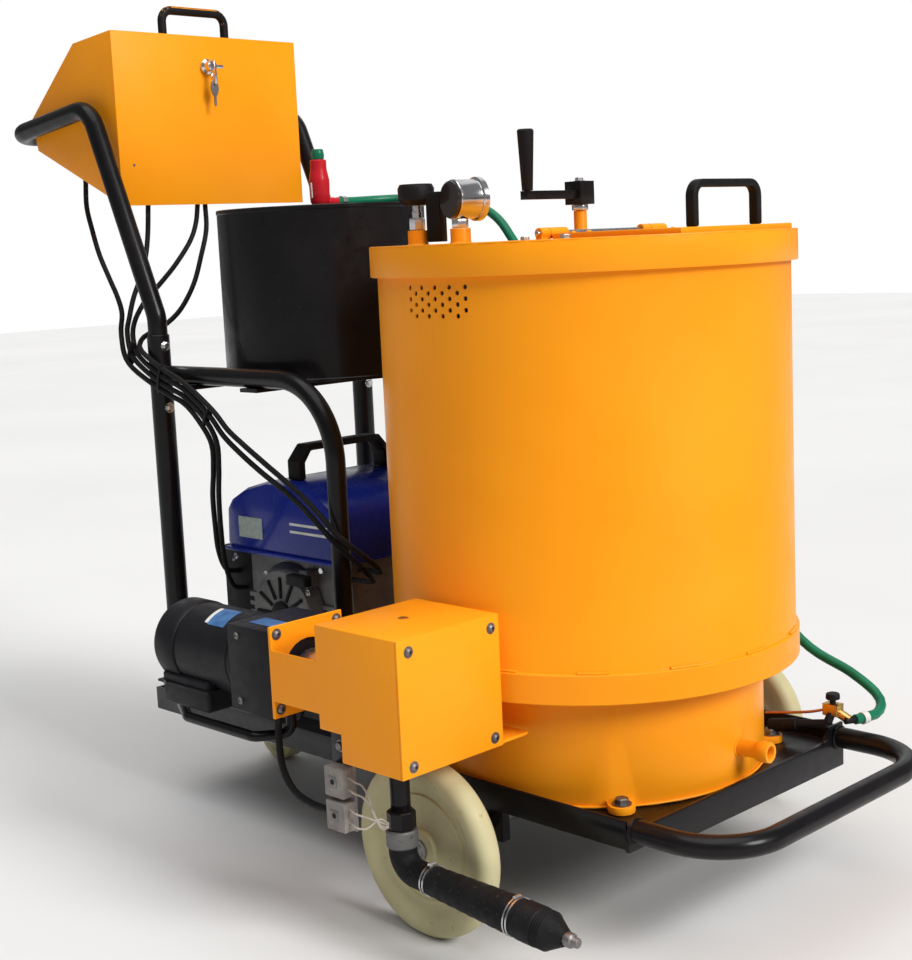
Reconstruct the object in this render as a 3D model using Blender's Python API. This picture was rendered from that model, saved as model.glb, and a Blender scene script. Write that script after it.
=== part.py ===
"""Walk-behind hot-melt crack sealing machine, one object for each separate piece.

Every piece is laid out around the melting kettle's vertical axis, with +X forward,
+Y to the machine's left and the floor at z = 0. One empty then carries the whole machine
to its reference point, the middle of its footprint.
"""

from math import cos, pi, radians, sin

import bmesh
import bpy
from mathutils import Matrix, Vector
from mathutils.geometry import intersect_line_line

# Reference point
KETTLE_AXIS = (0.2992, 0.0425, 0.0)  # from the middle of the footprint to the kettle's axis
GAP = 0.0003  # between pieces that touch

# Chassis
RAIL_OUTER = 0.204
RAIL_WALL = 0.004
RAIL_BOTTOM, RAIL_TOP = 0.121, 0.152
DECK_BOTTOM, DECK_TOP = 0.1283, 0.1325
CHASSIS_REAR, CHASSIS_FRONT = -0.629, 0.212
BUMPER_FRONT, BUMPER_SIDE, BUMPER_HEIGHT, BUMPER_R = 0.334, 0.193, 0.1405, 0.0125
BUMPER_BEND = 0.075

# Side frames and push handle
FRAME_SIDE = 0.180
POST_X, POST_R, POST_TOP = -0.597, 0.015, 0.640
SOCKET_R, SOCKET_BOTTOM = 0.0133, 0.603
HOOP_R, HOOP_HEIGHT, HOOP_FRONT, HOOP_BEND = 0.0120, 0.587, -0.244, 0.098
HANDLE_R = 0.013
HANDLE_CORNER = (-0.7235, 0.950)
HANDLE_REAR = (-0.932, 0.9265)

# Gas supply
DRUM_X, DRUM_R, DRUM_BOTTOM, DRUM_TOP = -0.458, 0.140, 0.5752, 0.800
REGULATOR_Z = 0.8065

# Kettle
JACKET_R, BAND_R, JACKET_WALL = 0.2355, 0.2394, 0.002
JACKET_BOTTOM, JACKET_TOP, BASE_BAND_TOP = 0.259, 0.7387, 0.293
LID_R, LID_BOTTOM, LID_TOP, SKIRT_BOTTOM = 0.2434, 0.7390, 0.7423, 0.709
FIREBOX_R, FIREBOX_BOTTOM, FIREBOX_TOP = 0.197, 0.1328, 0.2650
BURNER_R, BURNER_BORE, BURNER_Z, BURNER_END = 0.0095, 0.0075, 0.172, 0.236
BURNER_COLLAR_R, BURNER_COLLAR_LENGTH = 0.0115, 0.014
BURNER_ANGLE = radians(4)
POT_R, POT_WALL, POT_BOTTOM = 0.205, 0.003, 0.268
SHAFT_R, SHAFT_BORE, RISER_R, RISER_TOP = 0.005, 0.0053, 0.0075, 0.774
HINGE_X, HINGE_Z, HINGE_Y = 0.034, 0.7500, 0.088
KNUCKLE_R, KNUCKLE_BORE, PIN_R = 0.006, 0.0030, 0.0027
HATCH_BOTTOM, HATCH_TOP = 0.7427, 0.7497
HATCH_REAR, HATCH_FRONT, HATCH_SIDE = 0.0445, 0.218, 0.100
VALVE = (-0.150, -0.115)
THERMOMETER = (-0.090, -0.105)
BOSS_R, BOSS_TOP, VALVE_TOP = 0.0117, 0.7600, 0.7885
CRANK_REACH, CRANK_BOTTOM, CRANK_TOP = 0.088, 0.7808, 0.807

# Pump drive
BOX_NEAR, BOX_FAR = -0.388, -0.2425
BOX_REAR, BOX_FRONT = -0.048, 0.0745
BOX_BOTTOM, BOX_TOP, BOX_WALL = 0.218, 0.3605, 0.0025
DRIVE_Y, DRIVE_Z = -0.3373, 0.291
FLANGE_REAR, FLANGE_FRONT = -0.1265, -0.1225
FLANGE_BOTTOM, FLANGE_TOP, FLANGE_FAR = 0.2445, 0.3465, -0.2865
GEAR_TEETH, GEAR_PITCH_R = 10, 0.013
OUTLET = (0.013, -0.335)

# Wheels
WHEEL_R, WHEEL_WIDTH, WHEEL_SIDE = 0.100, 0.030, 0.286
AXLE_R, AXLE_END = 0.008, 0.303
CASTER_PIVOT, CASTER_WHEEL_X, CASTER_WHEEL_R = -0.590, -0.612, 0.040

# Generator
TANK_SIDES, TANK_BOTTOM, TANK_TOP = (-0.140, 0.160), 0.346, 0.446
TANK_SHAPE = (
    (-0.532, TANK_BOTTOM),
    (-0.528, 0.404),
    (-0.516, 0.419),
    (-0.489, 0.433),
    (-0.440, TANK_TOP),
    (-0.372, TANK_TOP),
    (-0.330, 0.433),
    (-0.306, 0.419),
    (-0.297, 0.404),
    (-0.294, TANK_BOTTOM),
)

# Console
CONSOLE_SIDE = 0.160
CONSOLE_FRONT = -0.690
CONSOLE_SHAPE = (
    (CONSOLE_FRONT, 1.0505),
    (-0.784, 1.0435),
    (-0.910, 0.949),
    (-0.898, 0.904),
    (CONSOLE_FRONT, 0.815),
)
CONSOLE_WALL = 0.002

# Torch
TORCH_HEAD = (0.2144, 0.1657, 0.1650)
TORCH_TIP = (0.1398, 0.1571, 0.1500)
TORCH_VALVE = (0.2160, 0.1750, 0.1800)
TORCH_TAIL = (0.2380, 0.1760, 0.1700)

# Cords
CABLE_R, HOSE_R = 0.0035, 0.0060


# ------------------------------------------------------------------ scene and materials


def clear_scene():
    for item in list(bpy.data.objects):
        bpy.data.objects.remove(item)


def material(name, colour, roughness, metallic=0.0):
    found = bpy.data.materials.get(name)
    if found:
        return found
    made = bpy.data.materials.new(name)
    made.use_nodes = True
    shader = made.node_tree.nodes["Principled BSDF"]
    shader.inputs["Base Color"].default_value = (*colour, 1.0)
    shader.inputs["Roughness"].default_value = roughness
    shader.inputs["Metallic"].default_value = metallic
    return made


def yellow_paint():
    return material("yellow_paint", (0.95, 0.42, 0.02), 0.38)


def black_paint():
    return material("black_paint", (0.018, 0.017, 0.018), 0.42)


def black_plastic():
    return material("black_plastic", (0.025, 0.024, 0.026), 0.55)


def black_rubber():
    return material("black_rubber", (0.012, 0.012, 0.013), 0.80)


def dark_steel():
    return material("dark_steel", (0.22, 0.22, 0.23), 0.50, 1.0)


def bright_steel():
    return material("bright_steel", (0.62, 0.62, 0.64), 0.30, 1.0)


def cast_grey():
    return material("cast_grey", (0.30, 0.30, 0.29), 0.60, 0.6)


def blue_paint():
    return material("blue_paint", (0.02, 0.03, 0.30), 0.35)


def wheel_urethane():
    return material("wheel_urethane", (0.34, 0.31, 0.17), 0.55)


def green_hose():
    return material("green_hose", (0.01, 0.20, 0.11), 0.45)


def red_paint():
    return material("red_paint", (0.60, 0.02, 0.04), 0.40)


def ceramic():
    return material("ceramic", (0.52, 0.50, 0.47), 0.70)


def grey_panel():
    return material("grey_panel", (0.30, 0.31, 0.32), 0.50)


# ------------------------------------------------------------------ shapes


def new_object(name, shape, look=None, pivot=(0, 0, 0)):
    """An object from a bmesh laid out around the kettle's axis, with its origin at the pivot."""
    bmesh.ops.translate(shape, verts=shape.verts, vec=-Vector(pivot))
    bmesh.ops.recalc_face_normals(shape, faces=shape.faces)
    mesh = bpy.data.meshes.new(name)
    shape.to_mesh(mesh)
    shape.free()
    mesh.shade_smooth()
    mesh.set_sharp_from_angle(angle=radians(35))
    made = bpy.data.objects.new(name, mesh)
    made.location = pivot
    made.parent = bpy.data.objects["machine"]
    bpy.context.scene.collection.objects.link(made)
    if look:
        mesh.materials.append(look)
    return made


def boolean(target, shape, operation):
    """Joins a shape to the target, or cuts it out."""
    helper = new_object(f"{target.name}_{operation.lower()}_{len(target.modifiers)}", shape)
    helper.hide_render = True
    helper.display_type = "WIRE"
    modifier = target.modifiers.new(helper.name, "BOOLEAN")
    modifier.operation = operation
    modifier.solver = "EXACT"
    modifier.object = helper


def add(target, *shapes):
    for shape in shapes:
        boolean(target, shape, "UNION")


def cut(target, *shapes):
    for shape in shapes:
        boolean(target, shape, "DIFFERENCE")


def soften(target, width, segments=2):
    modifier = target.modifiers.new("soften", "BEVEL")
    modifier.width = width
    modifier.segments = segments
    modifier.limit_method = "ANGLE"
    modifier.angle_limit = radians(40)


def block(low, high):
    """A rectangular box between two corners."""
    shape = bmesh.new()
    size = [b - a for a, b in zip(low, high)]
    middle = [(a + b) / 2 for a, b in zip(low, high)]
    place = Matrix.Translation(middle) @ Matrix.Diagonal((*size, 1.0))
    bmesh.ops.create_cube(shape, size=1.0, matrix=place)
    return shape


def prism(outline, axis, low, high):
    """An outline in the plane across the axis, extruded along it from low to high."""
    shape = bmesh.new()
    ring = []
    for a, b in outline:
        spot = {"x": (low, a, b), "y": (a, low, b), "z": (a, b, low)}[axis]
        ring.append(shape.verts.new(spot))
    face = shape.faces.new(ring)
    sweep = Vector([(high - low) * (axis == letter) for letter in "xyz"])
    raised = bmesh.ops.extrude_face_region(shape, geom=[face])
    moved = [item for item in raised["geom"] if isinstance(item, bmesh.types.BMVert)]
    bmesh.ops.translate(shape, verts=moved, vec=sweep)
    return shape


def turned(profile, centre=(0, 0, 0), axis=(0, 0, 1), sides=32):
    """A profile of (radius, height) points turned round an axis through the centre.

    A profile that starts and ends on the axis makes a solid of its own; any other closes on
    itself and makes a ring.
    """
    shape = bmesh.new()
    rings = []
    for radius, height in profile:
        count = sides if radius > 0 else 1
        steps = [2 * pi * step / sides for step in range(count)]
        rings.append([shape.verts.new((radius * cos(a), radius * sin(a), height)) for a in steps])
    pairs = list(zip(rings, rings[1:]))
    if profile[0][0] > 0:
        pairs.append((rings[-1], rings[0]))
    for lower, upper in pairs:
        for step in range(sides):
            after = (step + 1) % sides
            corners = [lower[step % len(lower)], lower[after % len(lower)]]
            corners += [upper[after % len(upper)], upper[step % len(upper)]]
            shape.faces.new(list(dict.fromkeys(corners)))
    turn = Vector((0, 0, 1)).rotation_difference(Vector(axis).normalized()).to_matrix().to_4x4()
    bmesh.ops.transform(shape, matrix=Matrix.Translation(centre) @ turn, verts=shape.verts)
    return shape


def rod(start, end, radius, end_radius=None, sides=16):
    """A round bar between two points, tapered where a second radius is given."""
    along = Vector(end) - Vector(start)
    last = radius if end_radius is None else end_radius
    profile = [(0, 0), (radius, 0), (last, along.length), (0, along.length)]
    return turned(profile, start, along, sides)


def pipe(points, radius, sides=10, taper=None):
    """A round bar along a path, its rings kept square to the path without twisting.

    Where it tapers, each ring's radius is multiplied by taper(point).
    """
    shape = bmesh.new()
    path = [Vector(point) for point in points]
    steps = [(b - a).normalized() for a, b in zip(path, path[1:])]
    tangents = [steps[0], *[(a + b).normalized() for a, b in zip(steps, steps[1:])], steps[-1]]
    side = tangents[0].orthogonal().normalized()
    rings = []
    for place, tangent in zip(path, tangents):
        side = (side - tangent * side.dot(tangent)).normalized()
        across = tangent.cross(side)
        reach = radius * (taper(place) if taper else 1)
        angles = [2 * pi * step / sides for step in range(sides)]
        rings.append([shape.verts.new(place + reach * (side * cos(a) + across * sin(a))) for a in angles])
    for lower, upper in zip(rings, rings[1:]):
        for step in range(sides):
            after = (step + 1) % sides
            shape.faces.new((lower[step], lower[after], upper[after], upper[step]))
    shape.faces.new(rings[0])
    shape.faces.new(rings[-1])
    return shape


def rounded(corners, radius, steps=5):
    """A path through the corners, each inner one replaced by an arc of the radius."""
    points = [Vector(corner) for corner in corners]
    path = [points[0]]
    for before, corner, after in zip(points, points[1:], points[2:]):
        back = (before - corner).normalized()
        ahead = (after - corner).normalized()
        half = back.angle(ahead) / 2
        reach = radius * cos(half) / sin(half)
        centre = corner + (back + ahead).normalized() * (radius / sin(half))
        first = corner + back * reach - centre
        last = corner + ahead * reach - centre
        bend = pi - 2 * half
        for step in range(steps + 1):
            turn = bend * step / steps
            path.append(centre + (first * sin(bend - turn) + last * sin(turn)) / sin(bend))
    path.append(points[-1])
    return path


def smooth_path(route, spacing):
    """Points at about the spacing along a smooth curve through the route's own points."""
    points = [Vector(point) for point in route]
    ends = [2 * points[0] - points[1], *points, 2 * points[-1] - points[-2]]
    path = []
    for a, b, c, d in zip(ends, ends[1:], ends[2:], ends[3:]):
        count = max(1, round((c - b).length / spacing))
        for step in range(count):
            t = step / count
            bend = (2 * a - 5 * b + 4 * c - d) * t * t + (3 * (b - c) + d - a) * t**3
            path.append((2 * b + (c - a) * t + bend) / 2)
    path.append(points[-1])
    return path


def cord(name, route, radius, look, sides_each_quarter=2):
    """A cord's solid: a round curve through its route."""
    curve = bpy.data.curves.new(name, "CURVE")
    curve.dimensions = "3D"
    curve.bevel_depth = radius
    curve.bevel_resolution = sides_each_quarter
    curve.use_fill_caps = True
    path = smooth_path(route, 6 * radius)
    spline = curve.splines.new("POLY")
    spline.points.add(len(path) - 1)
    for point, place in zip(spline.points, path):
        point.co = (*place, 1.0)
    curve.materials.append(look)
    made = bpy.data.objects.new(name, curve)
    made.parent = bpy.data.objects["machine"]
    bpy.context.scene.collection.objects.link(made)


def on_circle(radius, angle, height):
    return (radius * cos(angle), radius * sin(angle), height)


def u_outline(half_width, foot, top, corner, steps=3):
    """An upside-down U, from its first foot over the top to the other, with rounded corners."""
    points = [(-half_width, foot)]
    for middle, start in ((corner - half_width, pi), (half_width - corner, pi / 2)):
        for step in range(steps + 1):
            angle = start - pi / 2 * step / steps
            points.append((middle + corner * cos(angle), top - corner + corner * sin(angle)))
    return points + [(half_width, foot)]


# ------------------------------------------------------------------ chassis and frames


def chassis():
    """The tray, its front and rear plates, the axle hangers and the caster pad, welded up."""
    inner = RAIL_OUTER - RAIL_WALL
    section = [
        (-RAIL_OUTER, RAIL_BOTTOM),
        (-RAIL_OUTER, RAIL_TOP),
        (-inner, RAIL_TOP),
        (-inner, DECK_TOP),
        (inner, DECK_TOP),
        (inner, RAIL_TOP),
        (RAIL_OUTER, RAIL_TOP),
        (RAIL_OUTER, RAIL_BOTTOM),
        (inner, RAIL_BOTTOM),
        (inner, DECK_BOTTOM),
        (-inner, DECK_BOTTOM),
        (-inner, RAIL_BOTTOM),
    ]
    apron = [(-RAIL_OUTER, 0.1185), (-0.165, 0.1185), (-0.125, 0.105), (RAIL_OUTER, 0.103)]
    apron += [(RAIL_OUTER, 0.140), (-RAIL_OUTER, 0.140)]
    pad = ((CASTER_PIVOT - 0.032, -0.032, 0.1184), (CASTER_PIVOT + 0.032, 0.032, DECK_BOTTOM + 0.001))
    frame = new_object("chassis_frame", prism(section, "x", CHASSIS_REAR + 0.004, 0.208), black_paint())
    add(
        frame,
        prism(apron, "x", 0.2065, CHASSIS_FRONT),
        block((CHASSIS_REAR, -RAIL_OUTER, RAIL_BOTTOM), (CHASSIS_REAR + 0.005, RAIL_OUTER, RAIL_TOP)),
        block(*pad),
    )
    for side in (-1, 1):
        low, high = sorted((side * 0.184, side * 0.196))
        add(frame, block((-0.025, low, 0.082), (0.025, high, DECK_BOTTOM + 0.001)))
    cut(frame, rod((0, -0.22, WHEEL_R), (0, 0.22, WHEEL_R), AXLE_R + GAP, sides=20))


def bumper():
    corners = [
        (CHASSIS_FRONT + GAP, -BUMPER_SIDE, BUMPER_HEIGHT),
        (BUMPER_FRONT, -BUMPER_SIDE, BUMPER_HEIGHT),
        (BUMPER_FRONT, BUMPER_SIDE, BUMPER_HEIGHT),
        (CHASSIS_FRONT + GAP, BUMPER_SIDE, BUMPER_HEIGHT),
    ]
    new_object("bumper_loop", pipe(rounded(corners, BUMPER_BEND, 6), BUMPER_R), black_paint())


def side_frame(name, side):
    """A rear post with a socket for the push handle, and the hoop tube that braces it."""
    foot = DECK_TOP + GAP
    profile = [(0, foot), (POST_R, foot), (POST_R, POST_TOP), (SOCKET_R, POST_TOP)]
    profile += [(SOCKET_R, SOCKET_BOTTOM), (0, SOCKET_BOTTOM)]
    post = new_object(name, turned(profile, (POST_X, side, 0), sides=16), black_paint())
    hoop = [(POST_X, side, HOOP_HEIGHT), (HOOP_FRONT, side, HOOP_HEIGHT), (HOOP_FRONT, side, foot)]
    add(post, pipe(rounded(hoop, HOOP_BEND, 7), HOOP_R))


def push_handle():
    corner_x, corner_z = HANDLE_CORNER
    rear_x, rear_z = HANDLE_REAR
    half = [
        (POST_X, -FRAME_SIDE, SOCKET_BOTTOM + GAP),
        (POST_X, -FRAME_SIDE, 0.664),
        (corner_x, -FRAME_SIDE, corner_z),
        (rear_x, -FRAME_SIDE, rear_z),
    ]
    other = [(x, -y, z) for x, y, z in reversed(half)]
    new_object("push_handle", pipe(rounded(half + other, 0.042), HANDLE_R), black_paint())


def drum_shelf():
    """Two bars across the hoops and one along, under the drum."""
    top = HOOP_HEIGHT - HOOP_R - GAP
    bottom = top - 0.005
    shelf = new_object("drum_shelf", block((-0.540, -0.190, bottom), (-0.505, 0.190, top)), black_paint())
    add(
        shelf,
        block((-0.411, -0.190, bottom), (-0.376, 0.190, top)),
        block((-0.530, -0.020, bottom + 0.0005), (-0.385, 0.020, top - 0.0005)),
    )


# ------------------------------------------------------------------ gas supply


def gas_supply():
    wall = 0.002
    drum = [(0, DRUM_BOTTOM), (DRUM_R, DRUM_BOTTOM), (DRUM_R, DRUM_TOP), (DRUM_R - wall, DRUM_TOP)]
    drum += [(DRUM_R - wall, DRUM_BOTTOM + wall), (0, DRUM_BOTTOM + wall)]
    centre = (DRUM_X, 0, 0)
    new_object("gas_drum", turned(drum, centre, sides=36), black_paint())
    bottle = [(0, 0.5776), (0.095, 0.5776), (0.110, 0.589), (0.110, 0.705), (0.100, 0.735), (0.062, 0.757)]
    bottle += [(0.020, 0.764), (0.020, 0.776), (0.011, 0.776), (0.011, 0.790), (0, 0.790)]
    new_object("gas_bottle", turned(bottle, centre, sides=20), cast_grey())
    body = [(0, 0.7903), (0.009, 0.7903), (0.009, 0.801), (0.0130, 0.806), (0.0140, 0.836)]
    body += [(0.0110, 0.850), (0.0110, 0.862), (0, 0.862)]
    regulator = new_object("regulator_body", turned(body, centre, sides=14), red_paint())
    add(regulator, rod((DRUM_X, 0.004, REGULATOR_Z), (DRUM_X, 0.030, REGULATOR_Z), 0.0065, sides=12))
    knob = [(0, 0.8623), (0.008, 0.8623), (0.0088, 0.868), (0.0075, 0.876), (0, 0.876)]
    new_object("regulator_knob", turned(knob, centre, sides=12), green_hose(), (DRUM_X, 0, 0.8623))


# ------------------------------------------------------------------ kettle


def vents():
    """Round holes in staggered rows, high on the jacket's near side."""
    rows, across = 6, 5
    pitch_angle, pitch_height = radians(5.1), 0.0060
    middle, top = radians(-90.6), 0.6985
    for row in range(rows):
        count = across - row % 2
        for column in range(count):
            angle = middle + (column - (count - 1) / 2) * pitch_angle
            height = top - row * pitch_height
            start = on_circle(JACKET_R - 0.006, angle, height)
            yield rod(start, on_circle(JACKET_R + 0.004, angle, height), 0.0027, sides=6)


def jacket():
    inner = JACKET_R - JACKET_WALL
    hole = FIREBOX_R + 0.0006
    profile = [
        (JACKET_R, JACKET_TOP),
        (JACKET_R, BASE_BAND_TOP),
        (BAND_R, BASE_BAND_TOP - 0.002),
        (BAND_R, JACKET_BOTTOM),
        (hole, JACKET_BOTTOM),
        (hole, JACKET_BOTTOM + JACKET_WALL),
        (inner, JACKET_BOTTOM + JACKET_WALL),
        (inner, JACKET_TOP),
    ]
    shell = new_object("kettle_jacket", turned(profile, sides=52), yellow_paint())
    holes = bmesh.new()
    for hole_shape in vents():
        spare = bpy.data.meshes.new("vent")
        hole_shape.to_mesh(spare)
        hole_shape.free()
        holes.from_mesh(spare)
        bpy.data.meshes.remove(spare)
    cut(shell, holes)


def firebox():
    """The burner chamber under the pot, with its burner port and bolting lugs."""
    inner = FIREBOX_R - 0.003
    profile = [(0, FIREBOX_BOTTOM), (FIREBOX_R, FIREBOX_BOTTOM), (FIREBOX_R, FIREBOX_TOP)]
    profile += [(inner, FIREBOX_TOP), (inner, FIREBOX_BOTTOM + 0.003), (0, FIREBOX_BOTTOM + 0.003)]
    chamber = new_object("firebox", turned(profile, sides=40), yellow_paint())
    inside = on_circle(inner - 0.001, BURNER_ANGLE, BURNER_Z)
    length = BURNER_END - inner + 0.001
    collar = length - BURNER_COLLAR_LENGTH
    stub = [(0, 0), (BURNER_R, 0), (BURNER_R, collar - 0.001), (BURNER_COLLAR_R, collar)]
    stub += [(BURNER_COLLAR_R, length), (0, length)]
    add(chamber, turned(stub, inside, (cos(BURNER_ANGLE), sin(BURNER_ANGLE), 0), sides=20))
    for quarter in range(4):
        outline = [(FIREBOX_R - 0.006, -0.015), (FIREBOX_R + 0.012, -0.015)]
        for step in range(1, 6):
            angle = pi * step / 6 - pi / 2
            outline.append((FIREBOX_R + 0.012 + 0.015 * cos(angle), 0.015 * sin(angle)))
        outline += [(FIREBOX_R + 0.012, 0.015), (FIREBOX_R - 0.006, 0.015)]
        lug = prism(outline, "z", FIREBOX_BOTTOM, FIREBOX_BOTTOM + 0.008)
        turn = Matrix.Rotation(radians(-43) + quarter * pi / 2, 4, "Z")
        bmesh.ops.transform(lug, matrix=turn, verts=lug.verts)
        add(chamber, lug)
    before = on_circle(inner - 0.012, BURNER_ANGLE, BURNER_Z)
    beyond = on_circle(BURNER_END + 0.010, BURNER_ANGLE, BURNER_Z)
    cut(chamber, rod(before, beyond, BURNER_BORE, sides=20))


def inner_pot():
    inner = POT_R - POT_WALL
    rim = JACKET_R - JACKET_WALL - 0.0006
    lip = LID_BOTTOM - GAP - 0.0022
    profile = [(0, POT_BOTTOM), (POT_R, POT_BOTTOM + 0.001), (POT_R, lip), (rim, lip), (rim, lip + 0.002)]
    profile += [(inner, lip + 0.002), (inner, POT_BOTTOM + POT_WALL), (0, POT_BOTTOM + POT_WALL)]
    new_object("inner_pot", turned(profile, sides=36), dark_steel())


def lid():
    """The kettle's lid with its skirt, filler opening, crank riser, bosses and hinge knuckles."""
    skirt_inner = JACKET_R + 0.0005
    profile = [
        (SHAFT_BORE, LID_BOTTOM),
        (skirt_inner, LID_BOTTOM),
        (skirt_inner, SKIRT_BOTTOM),
        (LID_R, SKIRT_BOTTOM),
        (LID_R, LID_TOP),
        (RISER_R, LID_TOP),
        (RISER_R, RISER_TOP),
        (SHAFT_BORE, RISER_TOP),
    ]
    cover = new_object("kettle_lid", turned(profile, sides=52), yellow_paint())
    opening = block((0.055, -0.085, LID_BOTTOM - 0.01), (0.200, 0.085, LID_TOP + 0.01))
    cut(cover, opening)
    inside = (LID_BOTTOM + LID_TOP) / 2
    for x, y in (VALVE, THERMOMETER):
        add(cover, rod((x, y, inside), (x, y, BOSS_TOP), BOSS_R, sides=16))
    for middle in (-HINGE_Y, HINGE_Y):
        for low, high in ((-0.022, -0.008), (0.008, 0.022)):
            start = (HINGE_X, middle + low, HINGE_Z)
            end = (HINGE_X, middle + high, HINGE_Z)
            corner = (HINGE_X + 0.0045, middle + high, HINGE_Z)
            foot = block((HINGE_X - 0.0045, middle + low, inside), corner)
            add(cover, rod(start, end, KNUCKLE_R, sides=12), foot)
    cut(cover, rod((HINGE_X, -0.2, HINGE_Z), (HINGE_X, 0.2, HINGE_Z), KNUCKLE_BORE, sides=10))


def hatch():
    """The hatch over the filler opening, with its hinge tabs and U handle."""
    pivot = (HINGE_X, 0, HINGE_Z)
    plate = block((HATCH_REAR, -HATCH_SIDE, HATCH_BOTTOM), (HATCH_FRONT, HATCH_SIDE, HATCH_TOP))
    cover = new_object("hatch_cover", plate, yellow_paint(), pivot)
    for middle in (-HINGE_Y, HINGE_Y):
        low, high = middle - 0.0075, middle + 0.0075
        add(cover, rod((HINGE_X, low, HINGE_Z), (HINGE_X, high, HINGE_Z), KNUCKLE_R, sides=12))
        corner = (HATCH_REAR + 0.004, high, HATCH_TOP - 0.001)
        add(cover, block((HINGE_X + 0.002, low, HATCH_BOTTOM + 0.0038), corner))
    foot = HATCH_TOP - 0.002
    outer = u_outline(0.0610, foot, 0.7980, 0.018)
    inner = u_outline(0.0520, foot, 0.7895, 0.009)
    add(cover, prism(outer + inner[::-1], "x", 0.194, 0.206))
    cut(cover, rod((HINGE_X, -0.2, HINGE_Z), (HINGE_X, 0.2, HINGE_Z), KNUCKLE_BORE, sides=10))
    pin = rod((HINGE_X, -HINGE_Y - 0.025, HINGE_Z), (HINGE_X, HINGE_Y + 0.025, HINGE_Z), PIN_R, sides=10)
    new_object("hatch_hinge_pin", pin, bright_steel())


def agitator():
    """The stirring shaft with two crossed paddles, the crank on its top and the crank's grip."""
    collar_bottom, shaft_top = RISER_TOP + GAP, CRANK_BOTTOM - GAP
    profile = [(0, 0.285), (SHAFT_R, 0.285), (SHAFT_R, collar_bottom), (0.0095, collar_bottom)]
    profile += [(0.0095, shaft_top), (0, shaft_top)]
    shaft = new_object("agitator_shaft", turned(profile, sides=14), bright_steel())
    add(shaft, block((-0.165, -0.002, 0.300), (0.165, 0.002, 0.335)))
    add(shaft, block((-0.002, -0.165, 0.430), (0.002, 0.165, 0.465)))
    boss = block((-0.012, -0.012, CRANK_BOTTOM), (0.012, 0.012, CRANK_TOP))
    hub = new_object("crank_arm", boss, black_plastic())
    add(hub, block((-0.0055, -CRANK_REACH - 0.006, 0.7875), (0.0055, -0.010, 0.7970)))
    add(hub, rod((0, -CRANK_REACH, 0.795), (0, -CRANK_REACH, 0.850), 0.0030, sides=10))
    grip_bottom, grip_top, bore_top = 0.7973, 0.864, 0.853
    grip = [(0.0033, grip_bottom), (0.0062, grip_bottom), (0.0094, grip_top - 0.002), (0.0080, grip_top)]
    centre = (0, -CRANK_REACH, 0)
    solid = turned([(0, grip_bottom), *grip[1:], (0, grip_top)], centre, sides=14)
    handle = new_object("crank_grip", solid, black_plastic(), (0, -CRANK_REACH, grip_bottom))
    cut(handle, rod((0, -CRANK_REACH, grip_bottom - 0.01), (0, -CRANK_REACH, bore_top), 0.0033, sides=10))


def lid_fittings():
    """The thermometer and the vent valve on the lid's two bosses."""
    x, y = THERMOMETER
    foot = BOSS_TOP + GAP
    facing = Vector((-0.25, -0.97, 0)).normalized()
    middle = Vector((x, y, 0.7925))
    stem = [(0, foot), (0.0085, foot), (0.0085, foot + 0.010), (0.0045, foot + 0.011)]
    stem += [(0.0045, 0.785), (0, 0.785)]
    gauge = new_object("thermometer", turned(stem, (x, y, 0), sides=12), bright_steel())
    housing = [(0, -0.027), (0.0250, -0.027), (0.0250, -0.020), (0.0225, -0.019), (0.0225, 0.012)]
    housing += [(0.0205, 0.0145), (0, 0.0145)]
    add(gauge, turned(housing, middle, facing, sides=24))
    x, y = VALVE
    neck = [(0, foot), (0.009, foot), (0.009, foot + 0.014), (0.006, foot + 0.015)]
    neck += [(0.006, VALVE_TOP), (0, VALVE_TOP)]
    new_object("valve_body", turned(neck, (x, y, 0), sides=12), dark_steel())
    low = VALVE_TOP + GAP
    knob = [(0, low), (0.014, low), (0.021, 0.795), (0.0215, 0.808), (0.019, 0.813), (0, 0.813)]
    lever = new_object("valve_lever", turned(knob, (x, y, 0), sides=20), black_plastic(), (x, y, low))
    turn = Matrix.Translation((x, y, 0)) @ Matrix.Rotation(radians(20), 4, "Z")
    arm = block((0.0160, -0.009, 0.7460), (0.0335, 0.009, 0.803))
    bmesh.ops.transform(arm, matrix=turn, verts=arm.verts)
    add(lever, arm)


# ------------------------------------------------------------------ pump and its drive


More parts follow.
